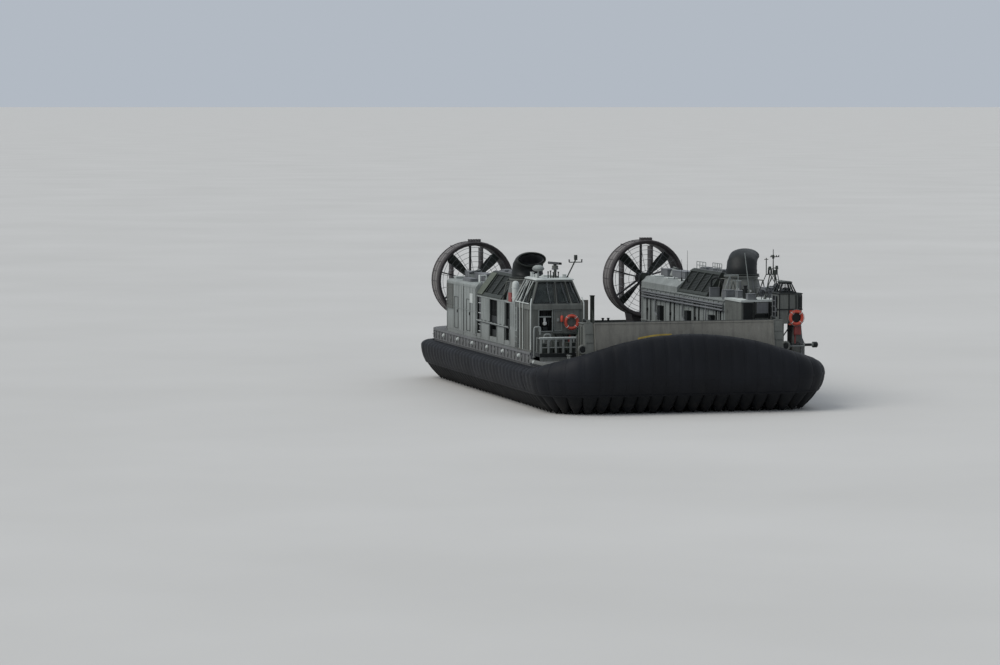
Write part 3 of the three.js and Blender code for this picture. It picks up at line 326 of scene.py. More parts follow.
def smooth_row(rows, at):
    """The values at a place on a smooth curve through rows, whose first number is their place."""
    row = max(i for i in range(1, len(rows) - 2) if rows[i][0] <= at)
    before, start, end, after = rows[row - 1:row + 3]
    span = end[0] - start[0]
    t = (at - start[0]) / span
    values = []
    for k in range(1, len(start)):
        slope_in = (end[k] - before[k]) / (end[0] - before[0]) * span
        slope_out = (after[k] - start[k]) / (after[0] - start[0]) * span
        values.append(
            (2 * t ** 3 - 3 * t ** 2 + 1) * start[k] + (t ** 3 - 2 * t ** 2 + t) * slope_in
            + (3 * t ** 2 - 2 * t ** 3) * end[k] + (t ** 3 - t ** 2) * slope_out)
    return values


def level_way(turn):
    return Vector((math.cos(turn), math.sin(turn), 0))


def upright_way(turn):
    """A direction in the plane that stands across the craft."""
    return Vector((0, math.cos(turn), math.sin(turn)))


def ring_points(middle, radius, count, way=upright_way):
    return [Vector(middle) + way(turn) * radius for turn in turns(count)]


def rounded(points, radius, steps=4):
    """A line through points with its corners rounded."""
    points = [Vector(point) for point in points]
    result = [points[0]]
    for before, corner, after in zip(points, points[1:], points[2:]):
        start = corner + (before - corner).normalized() * radius
        end = corner + (after - corner).normalized() * radius
        for t in spread(0, 1, steps + 1):
            result.append(start.lerp(corner, t).lerp(corner.lerp(end, t), t))
    result.append(points[-1])
    return result


def facing(place, out):
    """A frame on a wall: Y points out of it, Z up and X along it."""
    out = Vector(out).normalized()
    matrix = Matrix((out.cross(UP), out, UP)).transposed().to_4x4()
    matrix.translation = Vector(place)
    return matrix


def crosswise(along):
    """A direction square to another one."""
    return along.cross(UP if abs(along.z) < 0.9 else AHEAD).normalized()


class Piece:
    """Gathers closed shapes into one mesh that rides on a body."""

    waiting = []

    def __init__(self, name, material, body=CRAFT, slot=None, bevel=0.0, smooth=False, thickness=0.0):
        self.name = name
        self.material = material
        self.body = body
        self.slot = slot or (material if material in RECORD_SLOTS else None)
        self.bevel = bevel
        self.smooth = smooth
        self.thickness = thickness
        self.mesh = bmesh.new()
        self.turn = UNTURNED
        Piece.waiting.append(self)

    def point(self, place):
        return self.mesh.verts.new(self.turn @ Vector(place))

    def join_rings(self, first, second, closed=True):
        count = len(first)
        for i in range(count if closed else count - 1):
            j = (i + 1) % count
            self.mesh.faces.new([first[i], first[j], second[j], second[i]])

    def grid(self, rows, closed_columns=False):
        """A skin through rows of points."""
        rings = [[self.point(place) for place in row] for row in rows]
        for first, second in zip(rings, rings[1:]):
            self.join_rings(first, second, closed_columns)
        return rings

    def solid(self, rows):
        """A closed solid through rings of points, with a face at each end."""
        rings = self.grid(rows, closed_columns=True)
        self.mesh.faces.new(rings[0][::-1])
        self.mesh.faces.new(rings[-1])

    def box(self, low, high):
        xs, ys, zs = zip(low, high)
        corners = [self.point((x, y, z)) for x in xs for y in ys for z in zs]
        for face in BOX_FACES:
            self.mesh.faces.new([corners[i] for i in face])

    def block(self, side, xs, ys, zs):
        """A box whose y is counted outwards from the middle line, on one side of the craft."""
        low, high = sorted((side * ys[0], side * ys[1]))
        self.box((xs[0], low, zs[0]), (xs[1], high, zs[1]))

    def lidded(self, side, xs, ys, zs, lips, lid):
        """A block with a lid on it that reaches past it by a lip in x and in y."""
        self.block(side, xs, ys, zs)
        self.block(side, (xs[0] - lips[0], xs[1] + lips[0]), (ys[0] - lips[1], ys[1] + lips[1]),
                   (zs[1], zs[1] + lid))

    def bars(self, axis, places, half, low, high):
        """Boxes at places along an axis, from low to high in the other two directions."""
        low, high = list(low), list(high)
        for place in places:
            low[axis], high[axis] = place - half, place + half
            self.box(low, high)

    def side_bars(self, side, places, half, ys, zs):
        """Upright blocks at places fore and aft."""
        for x in places:
            self.block(side, (x - half, x + half), ys, zs)

    def slab(self, outline, axis, low, high):
        """An outline of points in the two other axes, pushed along an axis (0, 1 or 2)."""
        def place(u, v, w):
            return ((w, u, v), (u, w, v), (u, v, w))[axis]
        self.solid([[place(u, v, w) for u, v in outline] for w in (low, high)])

    def tube(self, points, radius, sides=8, closed=False):
        """A round tube along points. The radius is one number, or one for each point."""
        points = [Vector(point) for point in points]
        count = len(points)
        radii = radius if isinstance(radius, tuple) else [radius] * count
        rows = []
        side = None
        for i, point in enumerate(points):
            after = (i + 1) % count if closed else min(i + 1, count - 1)
            before = i - 1 if closed else max(i - 1, 0)
            along = (points[after] - points[before]).normalized()
            if side is None:
                side = crosswise(along)
            side = (side - along * side.dot(along)).normalized()
            other = along.cross(side)
            rows.append([
                point + (side * math.cos(turn) + other * math.sin(turn)) * radii[i] for turn in turns(sides)])
        if closed:
            rings = self.grid(rows, closed_columns=True)
            self.join_rings(rings[-1], rings[0])
        else:
            self.solid(rows)

    def rod(self, start, end, radius, sides=8, end_radius=None):
        self.tube([start, end], (radius, radius if end_radius is None else end_radius), sides)

    def post(self, foot, height, radius, sides=8, end_radius=None):
        """An upright rod on its foot."""
        self.rod(foot, Vector(foot) + UP * height, radius, sides, end_radius)

    def capped_post(self, foot, height, radius, cap, cap_radius, sides):
        self.post(foot, height, radius, sides)
        self.post(Vector(foot) + UP * height, cap, cap_radius, sides)

    def pipe(self, points, bend, radius, sides=8):
        """A tube along points with its corners rounded."""
        self.tube(rounded(points, bend), radius, sides)

    def lathe(self, profile, middle, axis, sides=24):
        """A closed profile of (radius, along) points turned about an axis through a middle."""
        along = Vector(axis).normalized()
        side = crosswise(along)
        other = along.cross(side)
        rows = []
        for turn in turns(sides):
            out = side * math.cos(turn) + other * math.sin(turn)
            rows.append([Vector(middle) + out * r + along * a for r, a in profile])
        rings = self.grid(rows, closed_columns=True)
        self.join_rings(rings[-1], rings[0])

    def hoop(self, middle, axis, radius, thickness, half, sides=24):
        """A flat band round an axis, as wide as two halves."""
        outer = radius + thickness
        self.lathe([(radius, -half), (outer, -half), (outer, half), (radius, half)], middle, axis, sides)

    def surround(self, width, height, bar, depth):
        """A flat rectangular frame on a wall, in the piece's turned frame, from its lower left corner."""
        for x0, x1, z0, z1 in (
            (0, width, 0, bar), (0, width, height - bar, height),
            (0, bar, bar, height - bar), (width - bar, width, bar, height - bar),
        ):
            self.box((x0, 0, z0), (x1, depth, z1))

    def done(self):
        """Makes the object, with a rounded edge, a thickness and smooth faces where they are asked for."""
        Piece.waiting.remove(self)
        bmesh.ops.recalc_face_normals(self.mesh, faces=self.mesh.faces)
        data = bpy.data.meshes.new(self.name)
        self.mesh.to_mesh(data)
        self.mesh.free()
        data.materials.append(MATERIALS[self.material])
        piece = bpy.data.objects.new(self.name, data)
        bpy.context.collection.objects.link(piece)
        if self.thickness:
            piece.modifiers.new("thickness", "SOLIDIFY").thickness = self.thickness
        if self.bevel:
            edges = piece.modifiers.new("edges", "BEVEL")
            edges.width = self.bevel
            edges.segments = 2
            edges.limit_method = "ANGLE"
        if self.smooth:
            data.shade_smooth()
            data.set_sharp_from_angle(angle=SHARP_ANGLE)
        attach(piece, self.body)
        return piece


def add_rail(piece, start, end, height, pitch, radius):
    """Stanchions along a line, with two level bars between them."""
    start, end = Vector(start), Vector(end)
    count = max(1, round((end - start).length / pitch))
    for share in spread(0, 1, count + 1):
        piece.post(start.lerp(end, share), height, radius, 6)
        piece.post(start.lerp(end, share), 0.015, radius * 2.4)
    for share in (0.52, 1.0):
        piece.rod(start + UP * height * share, end + UP * height * share, radius, 6)


def add_ladder(piece, foot, top, across, pitch, radius):
    foot, top, across = Vector(foot), Vector(top), Vector(across)
    count = max(2, round((top - foot).length / pitch))
    for side in (-0.5, 0.5):
        piece.rod(foot + across * side, top + across * side, radius, 6)
    for i in range(1, count):
        middle = foot.lerp(top, i / count)
        piece.rod(middle - across * 0.5, middle + across * 0.5, radius * 0.8, 6)


# Heights above the ground and distances from the middle line, in metres.

FOREDECK = 2.35
DECK = 2.66
WALKWAY = 2.7
MODULE_TOP = 4.85
CABIN_TOP = 4.98
ENGINE_TOP = 5.38
INTAKE_TOP = 6.03
SIDE_OUTER = 6.5
SIDE_INNER = 3.95


# Skirt

HULL_LOW, HULL_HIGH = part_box("hull")
HALF_LENGTH = HULL_HIGH.x
HALF_BEAM = HULL_HIGH.y
CORNER = 1.9
FRONT = HALF_BEAM - CORNER
TURN = CORNER * math.pi / 2
QUARTER = FRONT + TURN + HALF_LENGTH - CORNER
PERIMETER = 4 * QUARTER

WIDEST = 1.75
BAG_BOTTOM = 0.86
BAG_CLEAR = 0.02
BAG_TUCK = 0.3
FOOT_TURN = math.radians(53.13)
SIDE_BAG = (2.05, 0.61, 0.08)
LOWER_STEPS = 8
UPPER_STEPS = 14

GORES = 114
GORE = PERIMETER / GORES
GORE_STEPS = 6
ROLL_END = 14 * GORE
TAPE_HALF = 0.035
TAPE_SUNK = 0.01

SIDE_START = FRONT + TURN + 1.25

# Each row has the distance round from the middle of the bow, then the bag's ridge, bulge and crown.
# The first and the last row lie past the ends and give the curve its direction there.
BOW_BAG = (
    (-1.6, 3.60, 0.96, 0.30),
    (0.0, 3.70, 0.96, 0.30),
    (1.6, 3.60, 0.96, 0.30),
    (3.2, 3.34, 0.955, 0.29),
    (FRONT, 2.94, 0.94, 0.27),
    (FRONT + TURN * 0.25, 2.70, 0.89, 0.23),
    (FRONT + TURN * 0.50, 2.48, 0.81, 0.18),
    (FRONT + TURN * 0.75, 2.28, 0.71, 0.13),
    (FRONT + TURN, 2.12, 0.61, 0.095),
    (SIDE_START, *SIDE_BAG),
    (SIDE_START + 1, *SIDE_BAG),
)


def edge(s):
    """The place on the hull's edge, a distance round from the middle of the bow to port, and the way out."""
    quarter, rest = divmod(s % PERIMETER, QUARTER)
    along = rest if quarter in (0, 2) else QUARTER - rest
    if along < FRONT:
        place, out = (HALF_LENGTH, along), (1, 0)
    elif along < FRONT + TURN:
        turn = (along - FRONT) / CORNER
        out = (math.cos(turn), math.sin(turn))
        place = (HALF_LENGTH - CORNER + CORNER * out[0], FRONT + CORNER * out[1])
    else:
        place, out = (HALF_LENGTH - CORNER - (along - FRONT - TURN), HALF_BEAM), (0, 1)
    flip = Vector((-1 if quarter in (1, 2) else 1, -1 if quarter in (2, 3) else 1, 0))
    return Vector((*place, 0)) * flip, Vector((*out, 0)) * flip


def distance_from_bow(s):
    """The shorter way round to the middle of the bow."""
    return min(s % PERIMETER, PERIMETER - s % PERIMETER)


def bag_shape(s):
    """The bag's ridge height, bulge and crown at a place round the hull."""
    from_bow = distance_from_bow(s)
    from_stern = 2 * QUARTER - from_bow
    along = min(from_bow, from_stern)
    if along >= SIDE_START:
        return SIDE_BAG
    ridge, bulge, crown = smooth_row(BOW_BAG, along)
    if from_stern < from_bow:
        return SIDE_BAG[0], bulge, SIDE_BAG[2]
    return ridge, bulge, crown


def outer_section(s, low, high):
    """Points of the bag's outer side from its foot (0) by its widest height (1) to its ridge (2)."""
    ridge, bulge, crown = bag_shape(s)
    points = []
    if low < 1:
        for t in spread(0, 1, LOWER_STEPS + 1):
            turn = FOOT_TURN * (1 - t)
            drop = (WIDEST - BAG_BOTTOM) * math.sin(turn) / math.sin(FOOT_TURN)
            points.append((bulge * math.cos(turn), WIDEST - drop))
    else:
        points.append((bulge, WIDEST))
    if high > 1:
        for t in spread(0, 1, UPPER_STEPS + 1)[1:]:
            turn = math.pi / 2 * (1 - t)
            points.append((
                crown + (bulge - crown) * math.sin(turn),
                WIDEST + (ridge - WIDEST) * math.cos(turn),
            ))
    return points


def pillow(s, place):
    """How far the fabric stands proud between its seams."""
    across = abs(2 * (s / GORE % 1) - 1)
    swell = 0.034 if distance_from_bow(s) < FRONT else 0.042
    ripple = noise.noise(Vector((place.x * 1.1, place.y * 1.1, place.z * 0.7)))
    fold = noise.noise(Vector((place.x * 3.4, place.y * 3.4, place.z * 1.2)))
    return swell * (1 - across ** 3) - 0.030 + 0.018 * ripple + 0.006 * fold


def skin_column(s, low, high):
    """The outer side's points and their ways out, pillowed."""
    place, out = edge(s)
    flat = outer_section(s, low, high)
    last = len(flat) - 1
    column = []
    for i, (offset, z) in enumerate(flat):
        before, after = flat[max(i - 1, 0)], flat[min(i + 1, last)]
        normal = (out * (after[1] - before[1]) + UP * (before[0] - after[0])).normalized()
        point = place + out * offset + UP * z
        from_foot = 4 * i / len(flat) if low < 1 else 1
        from_ridge = 4 * (last - i) / len(flat) if high > 1 else 1
        column.append((point + normal * pillow(s, point) * min(1, from_foot, from_ridge), normal))
    return column


def inner_points(s, low, high):
    """The hidden rest of the section, from the ridge down the hull and under it."""
    place, out = edge(s)
    ridge, _, crown = bag_shape(s)
    under_hull = HULL_LOW.z - 0.02
    if high > 1:
        flat = [
            (BAG_CLEAR + (crown - BAG_CLEAR) * 0.35, ridge - crown * 0.24), (BAG_CLEAR, ridge - crown * 0.8)]
    else:
        flat = [(BAG_CLEAR, WIDEST - 0.004)]
    if low < 1:
        flat += [(BAG_CLEAR, under_hull), (-BAG_TUCK, under_hull), (-BAG_TUCK, BAG_BOTTOM)]
    else:
        flat.append((BAG_CLEAR, WIDEST + 0.004))
    return [place + out * offset + UP * z for offset, z in flat]


def along_skirt(start, end):
    """Places round the hull, with the same number of steps between each two seams."""
    return spread(start, end, round((end - start) / GORE * GORE_STEPS) + 1)


def add_bag(piece, start, end, low, high):
    """A closed stretch of bag between two gore seams, with a tape over each seam."""
    piece.solid([
        [point for point, _ in skin_column(s, low, high)] + inner_points(s, low, high)
        for s in along_skirt(start, end)])
    for i in range(round((end - start) / GORE) + 1):
        seam = start + GORE * i
        add_tape(piece, [skin_column(seam + offset, low, high) for offset in (-TAPE_HALF, TAPE_HALF)], 0.007)


def add_tape(piece, edges, thickness):
    """A flat strip lying on the skin between two lines of points with their ways out."""
    piece.solid([[
        left - left_out * TAPE_SUNK, left + left_out * thickness,
        right + right_out * thickness, right - right_out * TAPE_SUNK,
    ] for (left, left_out), (right, right_out) in zip(*edges)])


def add_level_tape(piece, start, end, lower, upper, thickness):
    """A strip that runs round the bag between two points of its lower section."""
    columns = [skin_column(s, 0, 1) for s in along_skirt(start, end)]
    add_tape(piece, [[column[i] for column in columns] for i in (lower, upper)], thickness)


def make_skirt():
    """The inflated bag, and the roll above it at the bow, which flattens under the bow ramp on the real
    craft; the roll gets a mesh of its own.
    """
    bag = Piece("skirt_bag", "skirt_rubber", slot="skirt_rubber", smooth=True)
    add_bag(bag, -ROLL_END, ROLL_END, 0, 1)
    add_bag(bag, ROLL_END, PERIMETER - ROLL_END, 0, 2)
    add_level_tape(bag, -ROLL_END, ROLL_END, LOWER_STEPS - 1, LOWER_STEPS, 0.012)
    add_level_tape(bag, 0, PERIMETER, 0, 1, 0.014)
    bag = bag.done()
    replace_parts(bag, "skirt_bag_bow", "skirt_bag_stern", "skirt_bag_starboard", "skirt_bag_port")

    roll = Piece("bow_roll", "skirt_rubber", slot="skirt_rubber", smooth=True)
    add_bag(roll, -ROLL_END, ROLL_END, 1, 2)
    roll = roll.done()
    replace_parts(roll, "skirt_bow_roll")
    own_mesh(roll)


FINGER_RAKE = 0.77
FINGER_BUMP = 0.11
FINGER_ROWS = 8
FINGER_COLUMNS = 12
FINGER_WIDTH = 0.985 * GORE
FINGER_FABRIC = 0.016
WEB_DEPTHS = (0.42, 0.2)


def finger_section(down):
    """Points across one finger as (share of half its width, proud, lift), a share of the way down."""
    webs = [(-depth * (1 - 0.35 * down), 0.16 + depth) for depth in WEB_DEPTHS]
    section = [(-1, *web) for web in webs]
    for turn in spread(-math.pi / 2, math.pi / 2, FINGER_COLUMNS + 1):
        bow = FINGER_BUMP * math.cos(turn) * (1 + 0.45 * math.sin(math.pi * min(1, down * 1.1)))
        section.append((math.sin(turn), bow, 0.2 * abs(math.sin(turn)) ** 2.2))
    return section + [(1, *web) for web in reversed(webs)]


def add_finger(piece, middle):
    """One open finger: a bowed face that slopes in towards its foot, with a web at each side."""
    _, bulge, _ = bag_shape(middle)
    top = 0.6 * bulge - FINGER_BUMP
    rows = []
    for down in spread(0, 1, FINGER_ROWS + 1):
        tip = max(0, (down - 0.6) / 0.4)
        half = FINGER_WIDTH / 2 * (1 - 0.3 * tip ** 1.5)
        row = []
        for across, proud, lift in finger_section(down):
            place, out = edge(middle + across * half)
            z = (BAG_BOTTOM + 0.02) * (1 - down) + lift * down
            wave = 0.014 * noise.noise(place * 2.1 + UP * (z * 3))
            row.append(place + out * (top + proud - FINGER_RAKE * down + wave) + UP * z)
        rows.append(row)
    piece.grid(rows)


def make_fingers():
    """The row of fingers under each side of the bag, one to a gore."""
    bow_fingers = round(2 * ROLL_END / GORE)
    side_fingers = (GORES - 2 * bow_fingers) // 2
    first = -bow_fingers // 2
    for name in ("bow", "port", "stern", "starboard"):
        count = bow_fingers if name in ("bow", "stern") else side_fingers
        piece = Piece(
            f"fingers_{name}", "finger_rubber", slot="finger_rubber", smooth=True, thickness=FINGER_FABRIC)
        for i in range(count):
            add_finger(piece, (first + i + 0.5) * GORE)
        first += count
        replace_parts(piece.done(), f"skirt_fingers_{name}")


# Hull

DECK_EDGE = FRONT + TURN + (HALF_LENGTH - CORNER - 8.6)
BOW_WELL = 4.45
BAND_STEP = 0.35
TOWING_EYE_OUT = 6.55
TOWING_EYES = [(-8.45 + 3.0 * i, 2.4) for i in range(6)] + [(9.3, 2.26)]
TOWING_EYE = ((0.001, 0.1), (0.06, 0.1), (0.085, 0.07), (0.09, 0.03), (0.115, 0.02), (0.115, -0.02))


def add_hull_band(piece, start, end, low, high, proud):
    """A band round the hull's edge between two heights."""
    section = ((-0.02, low), (proud, low + 0.01), (proud, high - 0.01), (-0.02, high))
    rows = []
    for s in spread(start, end, max(2, round((end - start) / BAND_STEP)) + 1):
        place, out = edge(s)
        rows.append([place + out * depth + UP * z for depth, z in section])
    piece.solid(rows)


def make_hull_gear():
    """Bands, brackets and lashing bars round the deck's edge, and the towing eyes."""
    rails = Piece("hull_rails", "hull_paint", bevel=0.004)
    dark = Piece("foredeck_crease_painted_shade", "black_paint", bevel=0.004)
    pale = Piece("foredeck_edge", "wall_paint", bevel=0.004)
    fittings = Piece("hull_fittings", "wall_paint", bevel=0.006)
    for start, end in ((BOW_WELL, DECK_EDGE), (-DECK_EDGE, -BOW_WELL)):
        # The pale band is wall paint, paler than the hull: partly the edge's own grey, partly painted light
        # standing in for the sky light on the foredeck's edge.
        add_hull_band(pale, start, end, 2.2, FOREDECK + 0.012, 0.045)
        # The black band just above the bag's ridge is painted shade in the crease where the bag meets the
        # hull.
        add_hull_band(dark, start, end, 2.08, 2.19, 0.03)
    start, end = DECK_EDGE, PERIMETER - DECK_EDGE
    add_hull_band(rails, start, end, DECK - 0.11, DECK + 0.012, 0.045)
    add_hull_band(rails, start, end, 2.10, 2.16, 0.03)
    count = round((end - start) / GORE)
    for i in range(count):
        rails.turn = fittings.turn = facing(*edge(start + (end - start) * (i + 0.5) / count))
        rails.box((-0.008, -0.02, 2.16), (0.008, 0.04, DECK - 0.11))
        if i % 2:
            fittings.box((-0.09, 0.005, 2.3), (0.09, 0.035, 2.44))
            fittings.tube([
                (-0.045, 0.03, 2.33), (-0.045, 0.075, 2.35), (0.045, 0.075, 2.35), (0.045, 0.03, 2.33),
            ], 0.014, 6)

    eyes = Piece("towing_eyes", "roof_paint", smooth=True)
    for _, side in SIDES:
        for x, z in TOWING_EYES:
            eyes.turn = facing((x, side * TOWING_EYE_OUT, z), (0, side, 0))
            eyes.lathe(TOWING_EYE, (0, 0, 0), (0, 1, 0), 20)


def make_tie_downs():
    """Sunken lashing points in the cargo deck, each a ring with a cross bar, and the seams between plates."""
    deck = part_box("cargo_deck")[1].z
    piece = Piece("deck_lashing_points", "machinery")
    for x in spread(-11.4, 10.2, 19):
        for y in spread(-3.3, 3.3, 6):
            piece.turn = Matrix.Translation((x, y, deck))
            piece.hoop((0, 0, 0.005), UP, 0.055, 0.03, 0.004, 12)
            piece.rod((-0.06, 0, 0.004), (0.06, 0, 0.004), 0.008, 6)
            piece.rod((0, -0.06, 0.004), (0, 0.06, 0.004), 0.008, 6)
    seams = Piece("deck_seams", "dark_paint")
    seams.bars(0, spread(-11.0, 10.2, 12), 0.012, (0, -3.9, deck), (0, 3.9, deck + 0.004))
    seams.bars(1, (-2.35, 0.0, 2.35), 0.012, (-12.2, 0, deck), (10.55, 0, deck + 0.004))


# Ramps

BOW_HINGE = Vector((12.15, 0, 1.95))
BOW_LEAN = math.radians(10)
BOW_RAMP_HALF = 4.39
BOW_RAMP_LENGTH = 2.31
BOW_RAMP_FACE = 0.064
BOW_RAMP_PLATES = 8
RAMP_TURNS = {
    "bow_ramp": Matrix.Translation(BOW_HINGE) @ Matrix.Rotation(-BOW_LEAN, 4, "Y"),
    "stern_ramp": Matrix.Translation((-12.33, 0, 2.76)),
}

# Where the yellow line runs on the bow ramp, as (y, height above the ground).
RAMP_LINE = ((-2.3, 3.42), (-2.05, 3.47), (-1.75, 3.52), (-1.42, 3.56), (-1.1, 3.58), (-0.65, 3.585))
RAMP_LINE_WIDTH = 0.08


def ramp_piece(ramp, part, material, bevel=0.0):
    """A piece on one of the ramps, built upright from its hinge."""
    piece = Piece(f"{ramp}_{part}", material, ramp, bevel=bevel)
    piece.turn = RAMP_TURNS[ramp]
    return piece


def add_cleat(piece, z, ys, near, far):
    """A level tread bar on a ramp. Near and far are each its place off the plate and half its height."""
    outline = [(near[0], z - near[1]), (far[0], z - far[1]), (far[0], z + far[1]), (near[0], z + near[1])]
    piece.slab(outline, 1, *ys)


def make_bow_ramp_gear():
    half, length = BOW_RAMP_HALF, BOW_RAMP_LENGTH
    plates = ramp_piece("bow_ramp", "plates", "ramp_paint", 0.003)
    width = (2 * half - 0.1) / BOW_RAMP_PLATES
    for i in range(BOW_RAMP_PLATES):
        y = -half + 0.05 + i * width
        plates.box((0.058, y + 0.006, 0.12), (BOW_RAMP_FACE, y + width - 0.006, length - 0.09))
    plates.bars(1, (-half + 0.035, half - 0.035), 0.03, (-0.075, 0, 0.05), (0.078, 0, length - 0.04))
    plates.box((0.06, -half, length - 0.085), (0.082, half, length - 0.02))
    for y in spread(-4.0, 4.0, 9):
        plates.rod((0, y - 0.07, 0), (0, y + 0.07, 0), 0.072, 14)

    cleats = ramp_piece("bow_ramp", "cleats", "deck_paint")
    for z in spread(0.2, length - 0.15, 11):
        for ys in ((-4.1, -0.35), (0.35, 4.1)):
            add_cleat(cleats, z, ys, (-0.06, 0.025), (-0.085, 0.014))

    seal = ramp_piece("bow_ramp", "seal", "black_paint")
    seal.rod((0, -half, length - 0.012), (0, half, length - 0.012), 0.05, 10)
    for _, side in SIDES:
        y = side * (half - 0.25)
        handle = ((-0.06, 1.9), (-0.14, 1.93), (-0.17, 2.0), (-0.14, 2.07), (-0.06, 2.1))
        seal.tube([(x, y, z) for x, z in handle], 0.02)

    line = ramp_piece("bow_ramp", "line", "yellow")
    near, far = BOW_RAMP_FACE, BOW_RAMP_FACE + 0.004
    rows = []
    for y, height in RAMP_LINE:
        low = (height - BOW_HINGE.z) / math.cos(BOW_LEAN)
        top = low + RAMP_LINE_WIDTH
        rows.append([(near, y, low), (far, y, low), (far, y, top), (near, y, top)])
    line.solid(rows)


def make_stern_ramp_gear():
    ribs = ramp_piece("stern_ramp", "ribs", "ramp_paint", 0.004)
    for y in spread(-2.2, 2.2, 9):
        ribs.slab([(-0.05, 0.12), (-0.1, 0.2), (-0.1, 0.98), (-0.05, 1.08)], 1, y - 0.03, y + 0.03)
    ribs.bars(2, (0.4, 0.8), 0.025, (-0.09, -2.2, 0), (-0.05, 2.2, 0))
    for y in spread(-2.1, 2.1, 6):
        ribs.rod((0, y - 0.08, 0), (0, y + 0.08, 0), 0.056, 12)
    cleats = ramp_piece("stern_ramp", "cleats", "deck_paint")
    for z in spread(0.2, 1.0, 5):
        add_cleat(cleats, z, (-2.1, 2.1), (0.05, 0.022), (0.072, 0.012))


# Foredeck

# Each locker on the walkway has its inner and outer y and its top.
WALKWAY_LOCKERS = (
    (-6.36, -6.09, 3.12), (-6.02, -5.78, 2.98), (-5.7, -5.48, 3.22), (-5.38, -5.16, 2.94),
    (-5.06, -4.7, 3.16),
)
ARM_HEIGHT = 2.99


def make_walkway_gear():
    """The starboard walkway's lockers, trim and apron, and the tread mats on the walkway and the foredeck."""
    lockers = Piece("foredeck_lockers", "dark_paint", bevel=0.012)
    for y0, y1, top in WALKWAY_LOCKERS:
        middle = (y0 + y1) / 2
        lockers.lidded(1, (9.3, 9.78), (y0, y1), (WALKWAY + 0.01, top), (0.02, 0.015), 0.035)
        lockers.box((9.8, middle - 0.03, top - 0.08), (9.815, middle + 0.03, top + 0.02))
    low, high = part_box("foredeck_rack")
    trim = Piece("foredeck_rack_trim", "roof_paint", smooth=True)
    trim.rod((high.x - 0.04, low.y - 0.02, high.z), (high.x - 0.04, high.y + 0.02, high.z), 0.03)

    # The apron's wall paint is painted light: it is paler than the hull paint to make up for the shade under
    # the walkway's edge.
    apron = Piece("walkway_apron", "wall_paint", bevel=0.004)
    apron.box((9.9, -6.42, FOREDECK), (9.93, -4.58, 2.54))
    apron.box((8.72, -6.45, FOREDECK), (9.93, -6.42, 2.54))
    apron.bars(1, spread(-6.3, -4.7, 5), 0.012, (9.93, 0, FOREDECK + 0.01), (9.95, 0, 2.53))

    treads = Piece("foredeck_treads", "deck_paint")
    treads.box((8.72, -6.42, WALKWAY), (9.94, -4.57, WALKWAY + 0.008))
    for _, side in SIDES:
        treads.block(side, (8.63, 10.45), (4.85, 6.35), (FOREDECK, FOREDECK + 0.008))
        treads.block(side, (10.5, 11.95), (4.9, 5.75), (FOREDECK, FOREDECK + 0.008))


def make_foredeck_gear():
    """Goose-neck vents, bollards, the dark gear on the foredeck and on the folded arm, and black bands of
    painted shade on the walkway's front step and outer edge.
    """
    vents = Piece("goose_neck_vents", "wall_paint", bevel=0.008, smooth=True)
    for x, y, foot, top in ((9.42, -6.6, 2.5, 3.78), (9.02, -6.0, WALKWAY, 3.4)):
        vents.pipe([
            (x, y, foot), (x, y, top), (x, y + 0.02, top + 0.14), (x, y + 0.3, top + 0.14),
            (x, y + 0.3, top - 0.22),
        ], 0.09, 0.045, 10)
        vents.post((x, y, foot), 0.03, 0.09, 12)
    for _, side in SIDES:
        for x in (10.72, 11.0):
            vents.capped_post((x, side * 5.3, FOREDECK), 0.3, 0.06, 0.04, 0.085, 12)
        vents.block(side, (10.6, 11.12), (5.18, 5.42), (FOREDECK, FOREDECK + 0.03))

    dark = Piece("foredeck_dark_gear_and_painted_shade", "black_paint", smooth=True)
    # Black bands on the walkway's front and outer edges: painted shade on the step down to the foredeck.
    dark.box((9.951, -6.45, 2.54), (9.965, -4.55, 2.715))
    dark.box((8.71, -6.465, 2.54), (9.965, -6.451, 2.715))
    low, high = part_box("foredeck_arm")
    middle = (low.x + high.x) / 2
    for y0, y1, radius in ((high.y - 0.01, high.y + 0.03, 0.1), (5.34, 6.1, 0.068), (6.16, 6.5, 0.066)):
        dark.rod((middle, y0, ARM_HEIGHT), (middle, y1, ARM_HEIGHT), radius, 16)
    dark.hoop((middle, 6.67, ARM_HEIGHT), (0, 1, 0), 0.126, 0.012, 0.1)
    handle = ((middle - 0.2, 2.96), (middle - 0.2, 3.11), (middle + 0.2, 3.11), (middle + 0.2, 2.96))
    for y in (5.45, 5.85):
        dark.pipe([(x, y, z) for x, z in handle], 0.05, 0.022)
    for x, y in ((11.2, 5.77), (11.35, -5.6)):
        dark.post((x, y, FOREDECK), 0.15, 0.07, 10)
        dark.rod((x - 0.12, y, 2.47), (x + 0.12, y, 2.47), 0.035, 10)


def make_bulwark_gear():
    """Ribs, rollers and brackets on the bulwarks beside the bow ramp."""
    ribs = Piece("bulwark_ribs", "cabin_paint", bevel=0.004)
    dark = Piece("bulwark_rollers", "black_paint", smooth=True)
    for _, side in SIDES:
        for x, top in ((10.65, 3.6), (11.05, 4.05), (11.45, 4.05)):
            ribs.block(side, (x - 0.02, x + 0.02), (4.83, 4.9), (FOREDECK + 0.02, top))
        ribs.block(side, (10.95, 11.72), (4.4, 4.9), (4.18, 4.215))
        ribs.side_bars(side, (10.98, 11.68), 0.02, (4.54, 4.7), (4.2, 4.37))
        dark.rod((11.0, side * 4.62, 4.3), (11.66, side * 4.62, 4.3), 0.05, 12)
        dark.rod((11.86, side * 4.95, 3.0), (11.95, side * 4.95, 3.0), 0.14, 20)
        for z in (2.6, 3.3, 3.7):
            face = 12.09 - (z - FOREDECK) * math.tan(BOW_LEAN)
            ribs.block(side, (face, face + 0.02), (4.45, 4.79), (z, z + 0.05))


# Cabin windows

